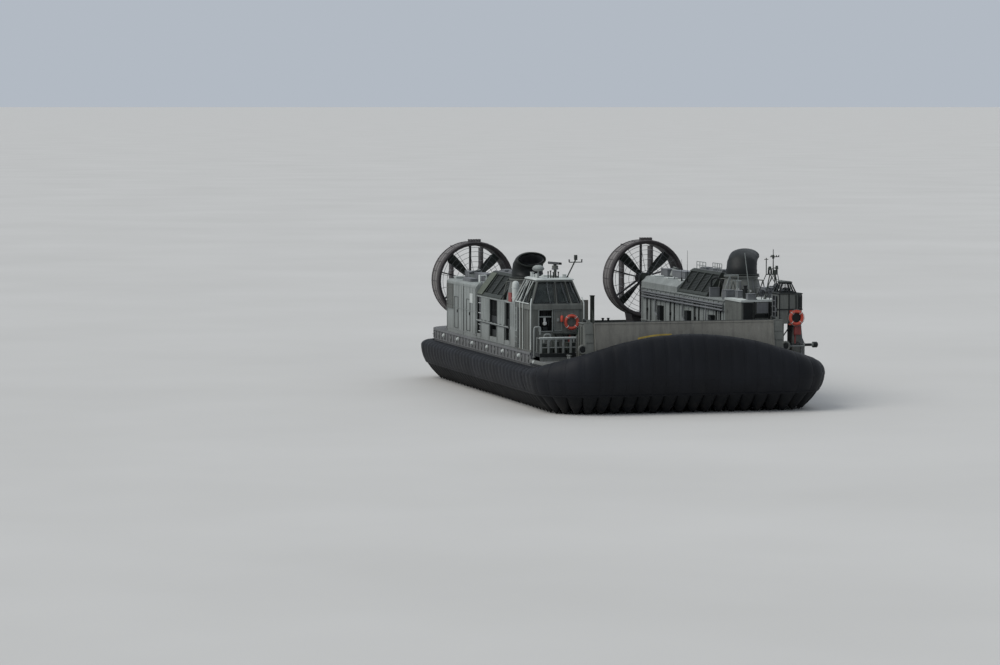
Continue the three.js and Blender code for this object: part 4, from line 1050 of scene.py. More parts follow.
CONTROL_ROOM = {
    "aft": 5.94, "fore": 8.45, "outer": SIDE_OUTER, "inner": SIDE_INNER, "sill": 4.89, "head": 6.03,
    "lean": 0.4, "aft_lean": 0.15, "fore_lean": 0.4, "border": 0.09, "side": STARBOARD,
    "windows": {
        "fore": (0, 0.5, 0.81, 1), "outer": (0, 0.33, 0.67, 1), "inner": (0, 0.33, 0.67, 1),
        "aft": (0, 0.5, 1),
    },
}
LOOKOUT_ROOM = {
    "aft": 9.48, "fore": 10.38, "outer": 6.04, "inner": 5.15, "sill": 5.4, "head": 5.89,
    "lean": 0.21, "aft_lean": 0.147, "fore_lean": 0.147, "border": 0.055, "side": PORT,
    "windows": {"fore": (0, 1), "outer": (0, 0.5, 1), "inner": (0, 0.5, 1), "aft": (0, 1)},
}
WINDOW_POST = 0.022


def room_corner(room, wall, share, z):
    """A point on a leaning wall, a share of the way along it."""
    rise = (z - room["sill"]) / (room["head"] - room["sill"])
    aft = room["aft"] + rise * room["aft_lean"]
    fore = room["fore"] - rise * room["fore_lean"]
    outer = room["outer"] - rise * room["lean"]
    inner = room["inner"] + rise * room["lean"]
    border = room["border"]
    if wall in ("fore", "aft"):
        y = outer - border + (inner - outer + 2 * border) * share
        return Vector((fore if wall == "fore" else aft, room["side"] * y, z))
    x = aft + border + (fore - aft - 2 * border) * share
    return Vector((x, room["side"] * (outer if wall == "outer" else inner), z))


def window_corners(room):
    """The four corners of each window, from the lower left round, with its wall and its way out."""
    low, high = room["sill"] + room["border"], room["head"] - room["border"]
    x, y = (room["aft"] + room["fore"]) / 2, (room["outer"] + room["inner"]) / 2
    room_middle = Vector((x, room["side"] * y, (low + high) / 2))
    for wall, shares in room["windows"].items():
        for start, end in zip(shares, shares[1:]):
            start += WINDOW_POST if start > 0 else 0
            end -= WINDOW_POST if end < 1 else 0
            corners = [
                room_corner(room, wall, share, z)
                for share, z in ((start, low), (end, low), (end, high), (start, high))]
            out = (corners[1] - corners[0]).cross(corners[3] - corners[0]).normalized()
            if out.dot(sum(corners, Vector()) / 4 - room_middle) < 0:
                out = -out
            yield wall, corners, out


def add_gaskets(piece, room, radius):
    for _, corners, out in window_corners(room):
        loop = [corner + out * 0.004 for corner in corners]
        piece.tube(rounded(loop + loop[:1], 0.03, 2), radius, 6)


def make_window_trim():
    """A gasket round each window, and a wiper on each front window of the control room."""
    add_gaskets(Piece("control_room_window_gaskets", "black_paint", smooth=True), CONTROL_ROOM, 0.022)
    add_gaskets(Piece("lookout_window_gaskets", "black_paint", smooth=True), LOOKOUT_ROOM, 0.01)
    wipers = Piece("control_room_wipers", "machinery", smooth=True)
    for wall, corners, out in window_corners(CONTROL_ROOM):
        if wall == "fore":
            low, top = corners[0].lerp(corners[1], 0.75), corners[2].lerp(corners[3], 0.5)
            foot = low + out * 0.03
            tip = foot.lerp(top, 0.72) + out * 0.035
            blade = (corners[1] - corners[0]).normalized() * 0.03 + (top - low).normalized() * 0.28
            wipers.tube([foot, foot + out * 0.05, tip], 0.012, 6)
            wipers.rod(tip - blade, tip + blade, 0.014, 6)
            wipers.rod(low, low + out * 0.05, 0.035, 10)


# Cabins

CABIN_FRONT = 8.45
BROW_FOOT = 4.68
BAY_BACK, BAY_INNER, BAY_OUTER, BAY_FOOT, BAY_HEAD = 8.18, -5.46, -6.1, 3.66, 4.66


def make_control_cabin_walls():
    """Ribs, ledge, pipes and ladder on the control cabin's outer and front walls."""
    wall, front = -SIDE_OUTER, CABIN_FRONT
    foot, head = DECK + 0.1, BROW_FOOT - 0.02
    ribs = Piece("control_cabin_ribs", "cabin_paint", bevel=0.005)
    ribs.bars(0, (6.5, 6.85, 7.2, 7.62, 8.05), 0.015, (0, wall - 0.035, foot), (0, wall, head))
    ribs.bars(1, (-6.28, -5.37, -4.97, -4.1), 0.014, (front, 0, foot), (front + 0.03, 0, head))
    ribs.box((front, wall, DECK + 0.02), (front + 0.035, -SIDE_INNER, foot))
    ribs.bars(1, spread(-6.4, -4.0, 9), 0.01, (front + 0.06, 0, BROW_FOOT + 0.03), (front + 0.068, 0, 4.86))

    ledge = Piece("cabin_front_ledge", "dark_paint", bevel=0.005)
    ledge.box((front, -5.42, 3.5), (front + 0.16, -SIDE_INNER - 0.05, 3.56))
    for y in (-5.3, -4.7, -4.15):
        ledge.slab([(front, 3.5), (front + 0.14, 3.5), (front, 3.32)], 1, y - 0.015, y + 0.015)

    pipes = Piece("control_cabin_pipes", "roof_paint", smooth=True)
    near = front + 0.105
    pipes.pipe([(near, -3.93, 3.7), (near, -3.93, 4.95), (near - 0.14, -4.0, 5.25)], 0.06, 0.032)
    pipes.pipe([(near, -6.53, 2.8), (near, -6.53, 4.95), (near - 0.14, -6.45, 5.2)], 0.06, 0.026)
    for x in (6.75, 7.35):
        pipes.pipe([(x, wall - 0.09, 2.75), (x, wall - 0.09, 4.95), (x + 0.1, wall + 0.28, 5.98)], 0.1, 0.022)
    for x0, x1 in ((5.6, 6.15), (6.0, 6.55), (6.42, 6.98), (7.2, 7.72)):
        pipes.rod((x0, wall - 0.07, 4.93), (x1, wall + 0.33, 5.98), 0.026)
    pipes.rod((5.98, wall - 0.08, 4.96), (8.4, wall - 0.08, 4.96), 0.022)

    backing = Piece("cabin_side_ladder", "black_paint", bevel=0.003)
    backing.box((5.98, wall - 0.012, 2.75), (6.38, wall, 4.64))
    rungs = Piece("cabin_side_rungs", "wall_paint", smooth=True)
    add_ladder(rungs, (6.18, wall - 0.1, 2.75), (6.18, wall - 0.1, 4.9), (0.4, 0, 0), 0.27, 0.026)
    for z in (2.9, 4.6):
        for x in (5.98, 6.38):
            rungs.rod((x, wall - 0.1, z), (x, wall, z), 0.016, 6)


def make_cabin_bay():
    """The open bay in the control cabin's front: black sheets of painted shade on its back and sides, and its
    pipes, frame and lamp.
    """
    front = CABIN_FRONT
    lining = Piece("cabin_bay_painted_shade_and_pipes", "black_paint", bevel=0.004, smooth=True)
    # Black sheets on the bay's back and sides: painted shade.
    lining.box((BAY_BACK, BAY_OUTER, BAY_FOOT), (BAY_BACK + 0.008, BAY_INNER, BAY_HEAD))
    for y in (BAY_OUTER, BAY_INNER - 0.008):
        lining.box((BAY_BACK + 0.008, y, BAY_FOOT), (front - 0.01, y + 0.008, BAY_HEAD))
    for y, radius in ((-5.95, 0.03), (-5.86, 0.022), (-5.62, 0.035), (-5.54, 0.02)):
        lining.pipe([
            (BAY_BACK + 0.03, y, BAY_HEAD), (BAY_BACK + 0.08, y, 4.3), (BAY_BACK + 0.16, y + 0.03, 4.0),
            (BAY_BACK + 0.07, y, BAY_FOOT),
        ], 0.08, radius)
    lining.box((BAY_BACK + 0.02, -5.9, 3.68), (BAY_BACK + 0.2, -5.66, 3.86))

    edges = Piece("cabin_bay_frame", "wall_paint", bevel=0.006)
    edges.box((front - 0.12, BAY_OUTER, 4.3), (front - 0.06, BAY_INNER, 4.36))
    edges.turn = facing((front, BAY_INNER + 0.03, BAY_FOOT - 0.03), (1, 0, 0))
    edges.surround(BAY_INNER - BAY_OUTER + 0.06, BAY_HEAD - BAY_FOOT + 0.05, 0.035, 0.04)
    edges.turn = facing((front, -4.97, 3.66), (1, 0, 0))
    edges.surround(0.38, 0.98, 0.02, 0.02)
    edges.box((0.14, 0.02, 0.45), (0.26, 0.035, 0.6))

    lamp = Piece("cabin_bay_lamp", "white", bevel=0.006, smooth=True)
    lamp.lathe([(0.001, -0.07), (0.09, -0.05), (0.105, 0.02), (0.085, 0.085), (0.001, 0.1)],
               (front - 0.09, -5.8, 4.02), (1, 0, 0), 16)
    lamp.box((front - 0.16, -5.85, 3.93), (front - 0.08, -5.75, 4.3))


def make_cabin_front_gear():
    """Boxes, extinguisher and hoses on the control cabin's front wall."""
    front = CABIN_FRONT
    boxes = Piece("cabin_front_boxes", "green_gear", bevel=0.015)
    boxes.box((front, -4.32, 3.3), (front + 0.2, -4.02, 3.48))
    boxes.box((front, -4.24, 3.58), (front + 0.14, -4.05, 3.7))
    red = Piece("cabin_front_extinguisher", "red", bevel=0.008, smooth=True)
    red.post((front + 0.08, -4.62, 3.0), 0.42, 0.07, 14)
    red.post((front + 0.08, -4.62, 3.42), 0.07, 0.03, 10, 0.02)
    red.box((front, -4.71, 3.12), (front + 0.16, -4.53, 3.15))
    hoses = Piece("cabin_front_hoses", "black_paint", smooth=True)
    for y, drop in ((-4.9, 2.8), (-4.35, 2.75)):
        hoses.pipe([
            (front, y, 3.45), (front + 0.1, y, 3.4), (front + 0.12, y + 0.12, 3.0),
            (front + 0.05, y + 0.1, drop),
        ], 0.06, 0.025)


def make_life_ring_gear():
    """White bands wrapped round each life ring, a grab line, and the hooks that hold the ring."""
    bands = Piece("life_ring_bands", "white", smooth=True)
    lines = Piece("life_ring_lines", "wall_paint", smooth=True)
    for node in ("life_ring_starboard", "life_ring_port"):
        low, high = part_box(node)
        middle = (low + high) / 2
        reach = (high.z - low.z) / 2
        for turn in turns(4, math.pi / 4):
            way = upright_way(turn)
            bands.tube([
                middle + way * (reach - 0.078 + 0.08 * math.cos(spin)) + AHEAD * 0.08 * math.sin(spin)
                for spin in turns(12)], 0.014, 6, closed=True)
        rope = []
        for turn in turns(32):
            slack = 0.022 * abs(math.sin(2 * (turn - math.pi / 4)))
            rope.append(middle + AHEAD * 0.02 + upright_way(turn) * (reach + slack))
        lines.tube(rope, 0.009, 5, closed=True)
        for y in (middle.y - 0.14, middle.y + 0.14):
            hook = ((low.x, 0.2), (high.x + 0.01, 0.19), (high.x + 0.01, 0.1))
            lines.tube([(x, y, high.z - drop) for x, drop in hook], 0.012, 6)
    low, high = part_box("life_ring_starboard")
    buoy = Piece("life_ring_float", "life_ring", smooth=True)
    x, y, foot = low.x + 0.09, low.y - 0.1, (low.z + high.z) / 2 + 0.02
    buoy.lathe([(0.001, 0.0), (0.055, 0.0), (0.07, 0.03), (0.07, 0.24), (0.045, 0.3), (0.001, 0.31)],
               (x, y, foot), UP, 16)
    buoy.box((low.x, y - 0.03, foot + 0.1), (x, y + 0.03, foot + 0.14))


RADAR_X, RADAR_Y = 7.5, -5.05
RADAR_YAW = math.radians(13 - 90)


def make_roof_gear():
    """Posts, edge, boxes and rims on the control cabin's roof, and the radar scanner's face."""
    low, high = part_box("control_cabin_roof")
    top, rim = high.z, low.z + 0.03
    posts = Piece("roof_posts", "black_paint", smooth=True)
    for y, height in ((-5.5, 0.26), (-5.38, 0.3), (-5.24, 0.22), (-5.12, 0.3), (-5.0, 0.24)):
        posts.capped_post((7.9, y, top), height, 0.026, 0.05, 0.042, 8)
    for y in (-4.41, -3.79):
        posts.post((7.7, y, 6.86), 0.11, 0.03)
        posts.post((7.7, y, 6.965), 0.025, 0.045)

    trim = Piece("roof_edge", "roof_paint", bevel=0.01)
    corners = ((low.x, low.y, rim), (high.x, low.y, rim), (high.x, high.y, rim), (low.x, high.y, rim))
    for i, corner in enumerate(corners):
        trim.rod(corner, corners[i - 3], 0.028)
    for x, y, height in ((7.45, -5.92, 0.16), (6.95, -5.92, 0.1), (6.45, -5.9, 0.2), (7.85, -4.7, 0.14)):
        trim.lidded(1, (x - 0.12, x + 0.12), (y - 0.05, y + 0.07), (top, top + height), (0.02, 0.015), 0.02)
    trim.lidded(1, (6.6, 7.05), (-5.5, -4.8), (top, top + 0.05), (-0.03, -0.03), 0.04)

    rims = Piece("roof_gear_lips", "hull_paint", smooth=True)
    dome_low, dome_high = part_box("dome_aerial")
    x, y = (dome_low.x + dome_high.x) / 2, (dome_low.y + dome_high.y) / 2
    rims.hoop((x, y, 6.585), UP, 0.275, 0.017, 0.012)
    for place in ring_points((x, y, top + 0.03), 0.045, 6, level_way):
        rims.post(place, 0.02, 0.01, 6)
    rims.hoop((RADAR_X, RADAR_Y, 6.55), UP, 0.145, 0.02, 0.02, 20)

    face = Piece("radar_face", "hull_paint", "radar_scanner", bevel=0.004)
    face.turn = Matrix.Translation((RADAR_X, RADAR_Y, 0)) @ Matrix.Rotation(RADAR_YAW, 4, "Z")
    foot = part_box("radar_scanner")[0].z
    face.bars(1, spread(-0.5, 0.5, 9), 0.02, (0.066, 0, foot + 0.06), (0.104, 0, foot + 0.165))


def make_cabin_inside():
    """Consoles, seats and floors that show through the glass."""
    consoles = Piece("cabin_consoles", "dark_paint", bevel=0.015)
    consoles.slab([(7.55, 4.3), (7.75, 5.0), (8.06, 5.06), (8.08, 4.74), (8.08, 4.3)], 1, -6.3, -4.2)
    consoles.bars(1, spread(-6.1, -4.4, 6), 0.1, (7.7, 0, 5.02), (7.88, 0, 5.22))
    consoles.box((6.04, -6.4, 4.2), (8.1, -4.05, 4.26))
    seats = Piece("crew_seats", "seat", bevel=0.04, smooth=True)
    for y in (-5.95, -5.2, -4.5):
        seats.box((6.76, y - 0.24, 4.55), (7.26, y + 0.24, 4.72))
        seats.slab([(6.7, 4.62), (6.82, 4.62), (6.74, 5.4), (6.64, 5.38)], 1, y - 0.23, y + 0.23)
        seats.box((6.62, y - 0.13, 5.42), (6.72, y + 0.13, 5.62))
        seats.post((7.0, y, 4.26), 0.29, 0.06)
    seats.box((9.7, 5.45, 4.55), (10.05, 5.85, 4.68))
    seats.post((9.87, 5.65, 4.0), 0.55, 0.05)


def make_lookout_gear():
    """Panes, frames, life ring board, boxes and ladder on the lookout cab."""
    low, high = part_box("lookout_cab")
    front = high.x
    panes = Piece("lookout_panes", "clear_glass", slot="glass")
    for _, corners, out in window_corners(LOOKOUT_ROOM):
        panes.solid([[corner - out * depth for corner in corners] for depth in (0.05, 0.042)])
    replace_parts(panes.done(), "lookout_glass")

    frames = Piece("lookout_frames", "black_paint", bevel=0.005)
    for z in (4.6, 5.34):
        frames.box((low.x - 0.02, low.y - 0.03, z), (front + 0.04, high.y + 0.03, z + 0.05))
    frames.bars(1, (5.99, 6.13, 6.27), 0.02, (front, 0, 4.62), (front + 0.06, 0, 5.3))
    frames.post((front + 0.05, 6.2, 4.75), 0.45, 0.055, 12)
    for z in (4.73, 5.18):
        frames.post((front + 0.05, 6.2, z), 0.04, 0.07, 12)
    frames.bars(1, (5.165, 5.645), 0.025, (front, 0, 3.97), (front + 0.035, 0, 5.34))
    frames.box((low.x + 0.2, low.y - 0.02, 3.97), (low.x + 0.8, low.y, 5.25))

    ring_low, ring_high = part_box("life_ring_port")
    y, z = (ring_low.y + ring_high.y) / 2, (ring_low.z + ring_high.z) / 2
    board = Piece("life_ring_board_port", "life_ring", bevel=0.01)
    board.box((front, ring_low.y + 0.02, ring_low.z + 0.03),
              (front + 0.02, min(ring_high.y, 6.27), ring_high.z - 0.02))
    hollow = Piece("life_ring_box_port", "black_paint")
    hollow.rod((front + 0.02, y, z), (front + 0.03, y, z), 0.235, 28)

    red = Piece("lookout_red_box", "red", bevel=0.012)
    pillar = front - 0.1
    red.box((pillar, 5.92, 3.42), (pillar + 0.16, 6.24, 3.8))
    red.box((pillar + 0.005, 5.9, 3.8), (pillar + 0.175, 6.26, 3.83))
    red.box((pillar, 5.96, 2.9), (pillar + 0.05, 6.02, 3.42))

    gear = Piece("lookout_wall_gear", "hull_paint", bevel=0.006)
    gear.box((low.x + 0.15, high.y, 4.15), (low.x + 0.55, high.y + 0.12, 4.55))
    gear.box((low.x + 0.13, high.y, 4.55), (low.x + 0.57, high.y + 0.14, 4.58))
    gear.box((low.x + 0.7, low.y - 0.05, 4.5), (low.x + 0.74, low.y - 0.02, 4.7))
    gear.bars(0, (9.6, 9.9, 10.2), 0.012, (0, 6.27, 2.4), (0, 6.3, 3.93))
    gear.box((9.48, 5.14, FOREDECK), (10.32, 6.5, 2.4))
    brace = [(6.28, 2.4), (6.5, 2.4), (6.5, 3.0), (6.38, 3.25), (6.31, 3.93), (6.28, 3.93)]
    for x in (9.6, 10.2):
        gear.slab(brace, 0, x - 0.05, x + 0.05)
    steps = Piece("lookout_ladder", "hull_paint", smooth=True)
    add_ladder(steps, (9.9, low.y - 0.07, FOREDECK), (9.9, low.y - 0.07, 5.3), (0.4, 0, 0), 0.28, 0.022)


MAST_X, MAST_Y = 7.94, 5.7
# Each lamp has its place across the mast, its foot, its radius and its height.
MAST_LAMPS = ((-0.21, 6.2, 0.05, 0.3), (0.196, 6.2, 0.055, 0.26), (-0.084, 6.21, 0.05, 0.2))
# Each reel has its place off the mast fore and aft and across, its height and its radius.
MAST_REELS = (
    (0.34, -0.3, 5.36, 0.13), (0.3, 0.05, 5.62, 0.12), (0.34, 0.32, 5.34, 0.14), (0.36, 0.02, 5.16, 0.12),
    (0.1, -0.62, 5.3, 0.16), (0.05, 0.62, 5.42, 0.13),
)


def make_mast_gear():
    """Lamps, cable, reels and stays on the lattice mast."""
    x, y = MAST_X, MAST_Y
    lamps = Piece("mast_lamps", "black_paint", smooth=True)
    for across, z, radius, height in MAST_LAMPS:
        lamps.post((x - 0.05, y + across, z), height, radius, 12, radius * 0.75)
    for across in (-0.1, 0.16, 0.28):
        lamps.post((x, y + across, 7.02), 0.08, 0.03, 8, 0.02)
    lamps.rod((x, y - 0.45, 6.9), (x, y - 0.25, 6.9), 0.018, 6)
    lamps.pipe([
        (x + 0.03, y, 7.0), (x + 0.04, y, 6.4), (x + 0.16, y + 0.1, 6.05), (x + 0.3, y + 0.1, 5.0),
    ], 0.1, 0.014, 6)
    reels = Piece("mast_reels", "machinery", smooth=True)
    for dx, dy, z, r in MAST_REELS:
        middle = (x + dx, y + dy, z)
        core = r * 0.7
        reels.lathe([
            (0.03, -0.09), (r, -0.09), (r, -0.07), (core, -0.06),
            (core, 0.06), (r, 0.07), (r, 0.09), (0.03, 0.09),
        ], middle, (1, 0.15, 0), 18)
        reels.rod(middle, (x + dx * 0.3, y + dy * 0.5, z + 0.06), 0.02, 6)
        reels.rod(middle, (x + dx, y + dy, CABIN_TOP), 0.02, 6)
    stays = Piece("mast_stays", "wall_paint", smooth=True)
    stays.rod((x - 0.05, 5.95, 6.16), (x - 0.35, 6.25, 4.99), 0.02)
    stays.rod((x - 0.15, y, 6.14), (x - 1.3, y, 4.99), 0.02)
    for foot in ((x - 0.35, 6.25), (x - 1.3, y)):
        stays.post((*foot, CABIN_TOP), 0.03, 0.06, 10)


PORT_FRONT = 8.4
# Each locker on the port cabin's roof has its ends, its sides and its top.
PORT_LOCKERS = (
    (6.1, 6.75, 5.7, 6.35, 5.45), (6.9, 7.3, 5.95, 6.35, 5.3), (6.05, 6.5, 4.4, 4.9, 5.3),
    (8.0, 8.35, 4.3, 4.7, 5.25),
)
SLANT_RUN, SLANT_RISE = 1.3, 0.52


def make_port_cabin_gear():
    """What stands on and hangs from the port cabin."""
    front = PORT_FRONT
    lockers = Piece("port_roof_lockers", "hull_paint", bevel=0.012)
    for x0, x1, y0, y1, top in PORT_LOCKERS:
        middle = (y0 + y1) / 2
        lockers.lidded(1, (x0, x1), (y0, y1), (CABIN_TOP, top), (0.015, 0.015), 0.03)
        lockers.box((x1, middle - 0.05, top - 0.12), (x1 + 0.015, middle + 0.05, top - 0.02))
    lockers.box((front, 4.1, 3.35), (front + 0.22, 4.9, 3.42))
    lockers.box((front, 5.2, 2.72), (front + 0.15, 5.9, 3.5))
    lockers.box((front, 4.7, 4.34), (front + 0.07, 5.28, 4.84))

    dark = Piece("port_cabin_dark_gear", "black_paint", bevel=0.006, smooth=True)
    dark.box((front, 4.64, 4.13), (front + 0.03, 5.3, 4.29))
    dark.bars(1, (4.85, 5.1), 0.02, (front + 0.03, 0, 4.13), (front + 0.045, 0, 4.29))
    dark.box((front, 5.36, 4.1), (front + 0.16, 5.76, 4.86))
    dark.box((front, 4.04, 3.5), (front + 0.05, 4.5, 4.84))
    near = front + 0.06
    for y, radius in ((4.58, 0.035), (5.32, 0.03), (5.86, 0.04)):
        dark.pipe([(near, y, 4.9), (near, y, 3.4), (near + 0.06, y + 0.05, 2.7)], 0.1, radius)
    for x, y, radius, height in ((7.0, 4.6, 0.12, 0.42), (7.35, 4.5, 0.08, 0.6), (8.2, 6.2, 0.09, 0.5)):
        dark.capped_post((x, y, CABIN_TOP), height, radius, 0.05, radius * 1.3, 14)

    dials = Piece("port_cabin_dials", "wall_paint", bevel=0.004)
    for y, z in ((5.47, 4.66), (5.65, 4.66), (5.56, 4.4)):
        dials.rod((front + 0.16, y, z), (front + 0.18, y, z), 0.06, 14)
    dials.box((front + 0.16, 5.42, 4.18), (front + 0.175, 5.7, 4.26))

    ribs = Piece("port_cabin_ribs", "cabin_paint", bevel=0.005)
    foot, head = DECK + 0.1, 4.8
    ribs.bars(0, (6.4, 6.9), 0.015, (0, SIDE_OUTER, foot), (0, SIDE_OUTER + 0.035, head))
    ribs.bars(1, (4.6, 5.95), 0.014, (front, 0, foot), (front + 0.03, 0, head))
    ribs.box((front, SIDE_INNER, DECK + 0.02), (front + 0.035, 5.96, foot))
    ribs.turn = facing((front, SIDE_OUTER - SLANT_RISE, 0), (SLANT_RISE, SLANT_RUN, 0))
    ribs.bars(0, (-0.35, -0.7, -1.05), 0.015, (0, 0, foot), (0, 0.03, head))
    ribs.box((0.02 - math.hypot(SLANT_RUN, SLANT_RISE), 0, DECK + 0.02), (-0.02, 0.03, foot))

    rails = Piece("port_roof_rails", "wall_paint", smooth=True)
    add_rail(rails, (6.0, 6.45, CABIN_TOP), (8.3, 6.45, CABIN_TOP), 0.85, 0.8, 0.02)
    rails.post((6.0, 4.52, CABIN_TOP), 0.85, 0.03)
    rails.rod((6.0, 4.3, 5.78), (6.0, 4.75, 5.78), 0.02)


# Machinery modules

RECESSES = ((-1.81, -0.99), (0.70, 2.16), (3.78, 4.45))
RECESS_FOOT = 2.95
RECESS_HEAD = 4.78
RECESS_BACK = SIDE_OUTER - 0.26
PANELS = ((-0.97, 0.68), (2.18, 3.6), (4.64, 5.9))
VENT_SIZE = 1.26
VENT_SLATS = 15
VENT_BAR = 0.045
VENT_DEPTH = 0.05
ENGINE_COVERS = ((-7.88, -6.72), (-5.88, -3.72), (-2.88, -1.95))


def proud(depth):
    """From the outer wall's face to a depth outside it."""
    return SIDE_OUTER, SIDE_OUTER + depth


def add_vent(piece):
    """A framed square vent with sloping slats, in the piece's turned frame."""
    piece.surround(VENT_SIZE, VENT_SIZE, VENT_BAR, VENT_DEPTH)
    pitch = (VENT_SIZE - 2 * VENT_BAR) / VENT_SLATS
    for i in range(VENT_SLATS):
        z = VENT_BAR + i * pitch
        piece.slab([
            (0.008, z + pitch * 0.75), (VENT_DEPTH - 0.005, z + pitch * 0.12),
            (VENT_DEPTH, z + pitch * 0.2), (0.014, z + pitch * 0.86),
        ], 0, VENT_BAR, VENT_SIZE - VENT_BAR)


def side_wall(x, width, y, foot, faces):
    """A frame on a wall that faces port or starboard, for something flat whose after end is at x."""
    return facing((x + width if faces == STARBOARD else x, y, foot), (0, faces, 0))


def add_engine_wall(ribs, dark, vents, pale, side):
    """The aft module's outer wall: seams, panels, a tall vent and doors."""
    wall = side * SIDE_OUTER
    ribs.side_bars(side, (-7.95, -4.56, -1.86), 0.02, proud(0.03), (2.71, 5.26))
    ribs.side_bars(side, spread(-6.7, -2.1, 9), 0.008, proud(0.014), (2.9, 5.15))
    for z in (2.85, 4.0, 5.18):
        ribs.block(side, (-7.96, -1.84), proud(0.02), (z - 0.012, z + 0.012))
    vents.turn = side_wall(-7.92, VENT_SIZE, wall, 3.9, side)
    add_vent(vents)
    pale.turn = side_wall(-3.22, 0.6, wall, 4.38, side)
    pale.box((0, 0, 0), (0.6, 0.02, 0.48))
    pale.box((0.05, 0.02, 0.05), (0.09, 0.035, 0.43))
    pale.turn = UNTURNED
    for x in (-6.4, -3.9):
        dark.turn = side_wall(x, 0.75, wall, 2.95, side)
        dark.surround(0.75, 1.6, 0.016, 0.022)
        dark.box((0.06, 0.02, 0.8), (0.1, 0.05, 0.95))
    dark.turn = UNTURNED
    dark.block(side, (-4.53, -4.51), proud(0.016), (2.9, 5.2))
    # A black strip aft of the first opening's rib: painted shade that widens that opening's dark.
    dark.block(side, (-2.04, -1.88), proud(0.008), (2.78, 5.2))


def add_recess_gear(dark, pipes, pale, side):
    """The pipes and drums inside the three tall openings in the fore module's wall, and the black sheets and
    strips of painted shade in and beside them.
    """
    back = RECESS_BACK
    upright = (RECESS_FOOT + 0.003, RECESS_HEAD - 0.003)
    # Black sheets on the back, sides and head of each opening: painted shade.
    for x0, x1 in RECESSES:
        dark.block(side, (x0 + 0.003, x1 - 0.003), (back, back + 0.006), upright)
        for x in (x0 + 0.003, x1 - 0.009):
            dark.block(side, (x, x + 0.006), (back + 0.006, 6.47), upright)
        dark.block(side, (x0 + 0.01, x1 - 0.01), (back + 0.006, 6.49), (RECESS_HEAD - 0.009, upright[1]))
    # Black strips on the wall beside the third opening: painted shade that widens its dark.
    for xs in ((3.62, 3.775), (4.455, 4.62)):
        dark.block(side, xs, proud(0.008), (RECESS_FOOT, RECESS_HEAD))
    y = side * (back + 0.1)
    for x, radius in ((-1.68, 0.05), (-1.5, 0.03), (-1.32, 0.06), (-1.12, 0.028)):
        pipes.pipe([(x, y, 2.96), (x, y, 4.3), (x + 0.03, y + side * 0.06, 4.77)], 0.1, radius)
        for z in (3.2, 4.1, 4.6):
            pipes.post((x, y, z), 0.04, radius * 1.35)
    for z in (3.05, 3.38, 3.95, 4.45):
        pale.block(side, (-1.76, -1.04), (back + 0.18, back + 0.2), (z, z + 0.035))
    y = side * (back + 0.09)
    for (x0, x1), drums in zip(RECESSES[1:], (4, 2)):
        for x in spread(x0 + 0.18, x1 - 0.18, drums):
            dark.post((x, y, 3.65), 1.07, 0.05)
            dark.post((x, y, 4.2), 0.08, 0.066)
        dark.block(side, (x0 + 0.04, x1 - 0.3), (back, back + 0.17), (3.65, 3.98))
        dark.block(side, (x0 + 0.04, x1 - 0.04), (back, back + 0.14), (2.96, 3.3))
        pipes.block(side, (x1 - 0.26, x1 - 0.08), (back, back + 0.12), (3.1, 3.5))


def add_panels(ribs, dark, side):
    """Seams, ledges and a grab rail on the fore module's outer wall."""
    for x0, x1 in PANELS:
        ribs.side_bars(side, spread(x0 + 0.08, x1 - 0.08, 5), 0.008, proud(0.014), (3.68, 4.78))
        ribs.block(side, (x0, x1), proud(0.02), (4.79, 4.83))
        ribs.block(side, (x0, x1), proud(0.012), (4.16, 4.18))
        ribs.side_bars(side, (x0 + 0.02, x1 - 0.02), 0.02, proud(0.03), (2.75, 3.52))
    ribs.block(side, (-1.8, 5.9), proud(0.03), (2.72, 2.78))
    dark.block(side, (-1.8, 4.44), (6.54, 6.548), (3.555, 3.585))
    for x in spread(-1.6, 4.2, 9):
        dark.rod((x, side * 6.53, 3.655), (x + 0.3, side * 6.53, 3.655), 0.018, 6)


def add_inner_wall(ribs, pipes, dark, side):
    """What is fixed to the machinery's walls beside the cargo deck."""
    wall = SIDE_INNER
    ribs.side_bars(side, spread(-7.7, 5.7, 18), 0.02, (wall - 0.04, wall), (2.72, 4.8))
    for z in (3.1, 4.78):
        ribs.block(side, (-7.9, 5.9), (wall - 0.05, wall), (z, z + 0.05))
    for x, width in ((-6.9, 0.7), (-2.9, 0.75), (1.2, 0.7), (4.6, 0.7)):
        dark.turn = side_wall(x, width, side * wall, 2.78, -side)
        dark.surround(width, 1.72, 0.05, 0.06)
        dark.box((width - 0.14, 0.0, 0.85), (width - 0.1, 0.1, 1.0))
    dark.turn = UNTURNED
    near, far = side * (wall - 0.09), side * (wall - 0.12)
    for z, radius in ((4.35, 0.05), (4.5, 0.035), (4.62, 0.045)):
        pipes.rod((-7.6, near, z), (5.8, near, z), radius)
    for x in (-5.2, -0.6, 3.2):
        pipes.pipe([(x, near, 4.5), (x, far, 3.6), (x + 0.5, far, 3.5), (x + 0.5, near, 2.72)], 0.12, 0.035)
        dark.block(side, (x + 0.7, x + 1.15), (wall - 0.22, wall), (3.3, 4.0))
        dark.block(side, (x + 0.68, x + 1.17), (wall - 0.24, wall), (4.0, 4.03))


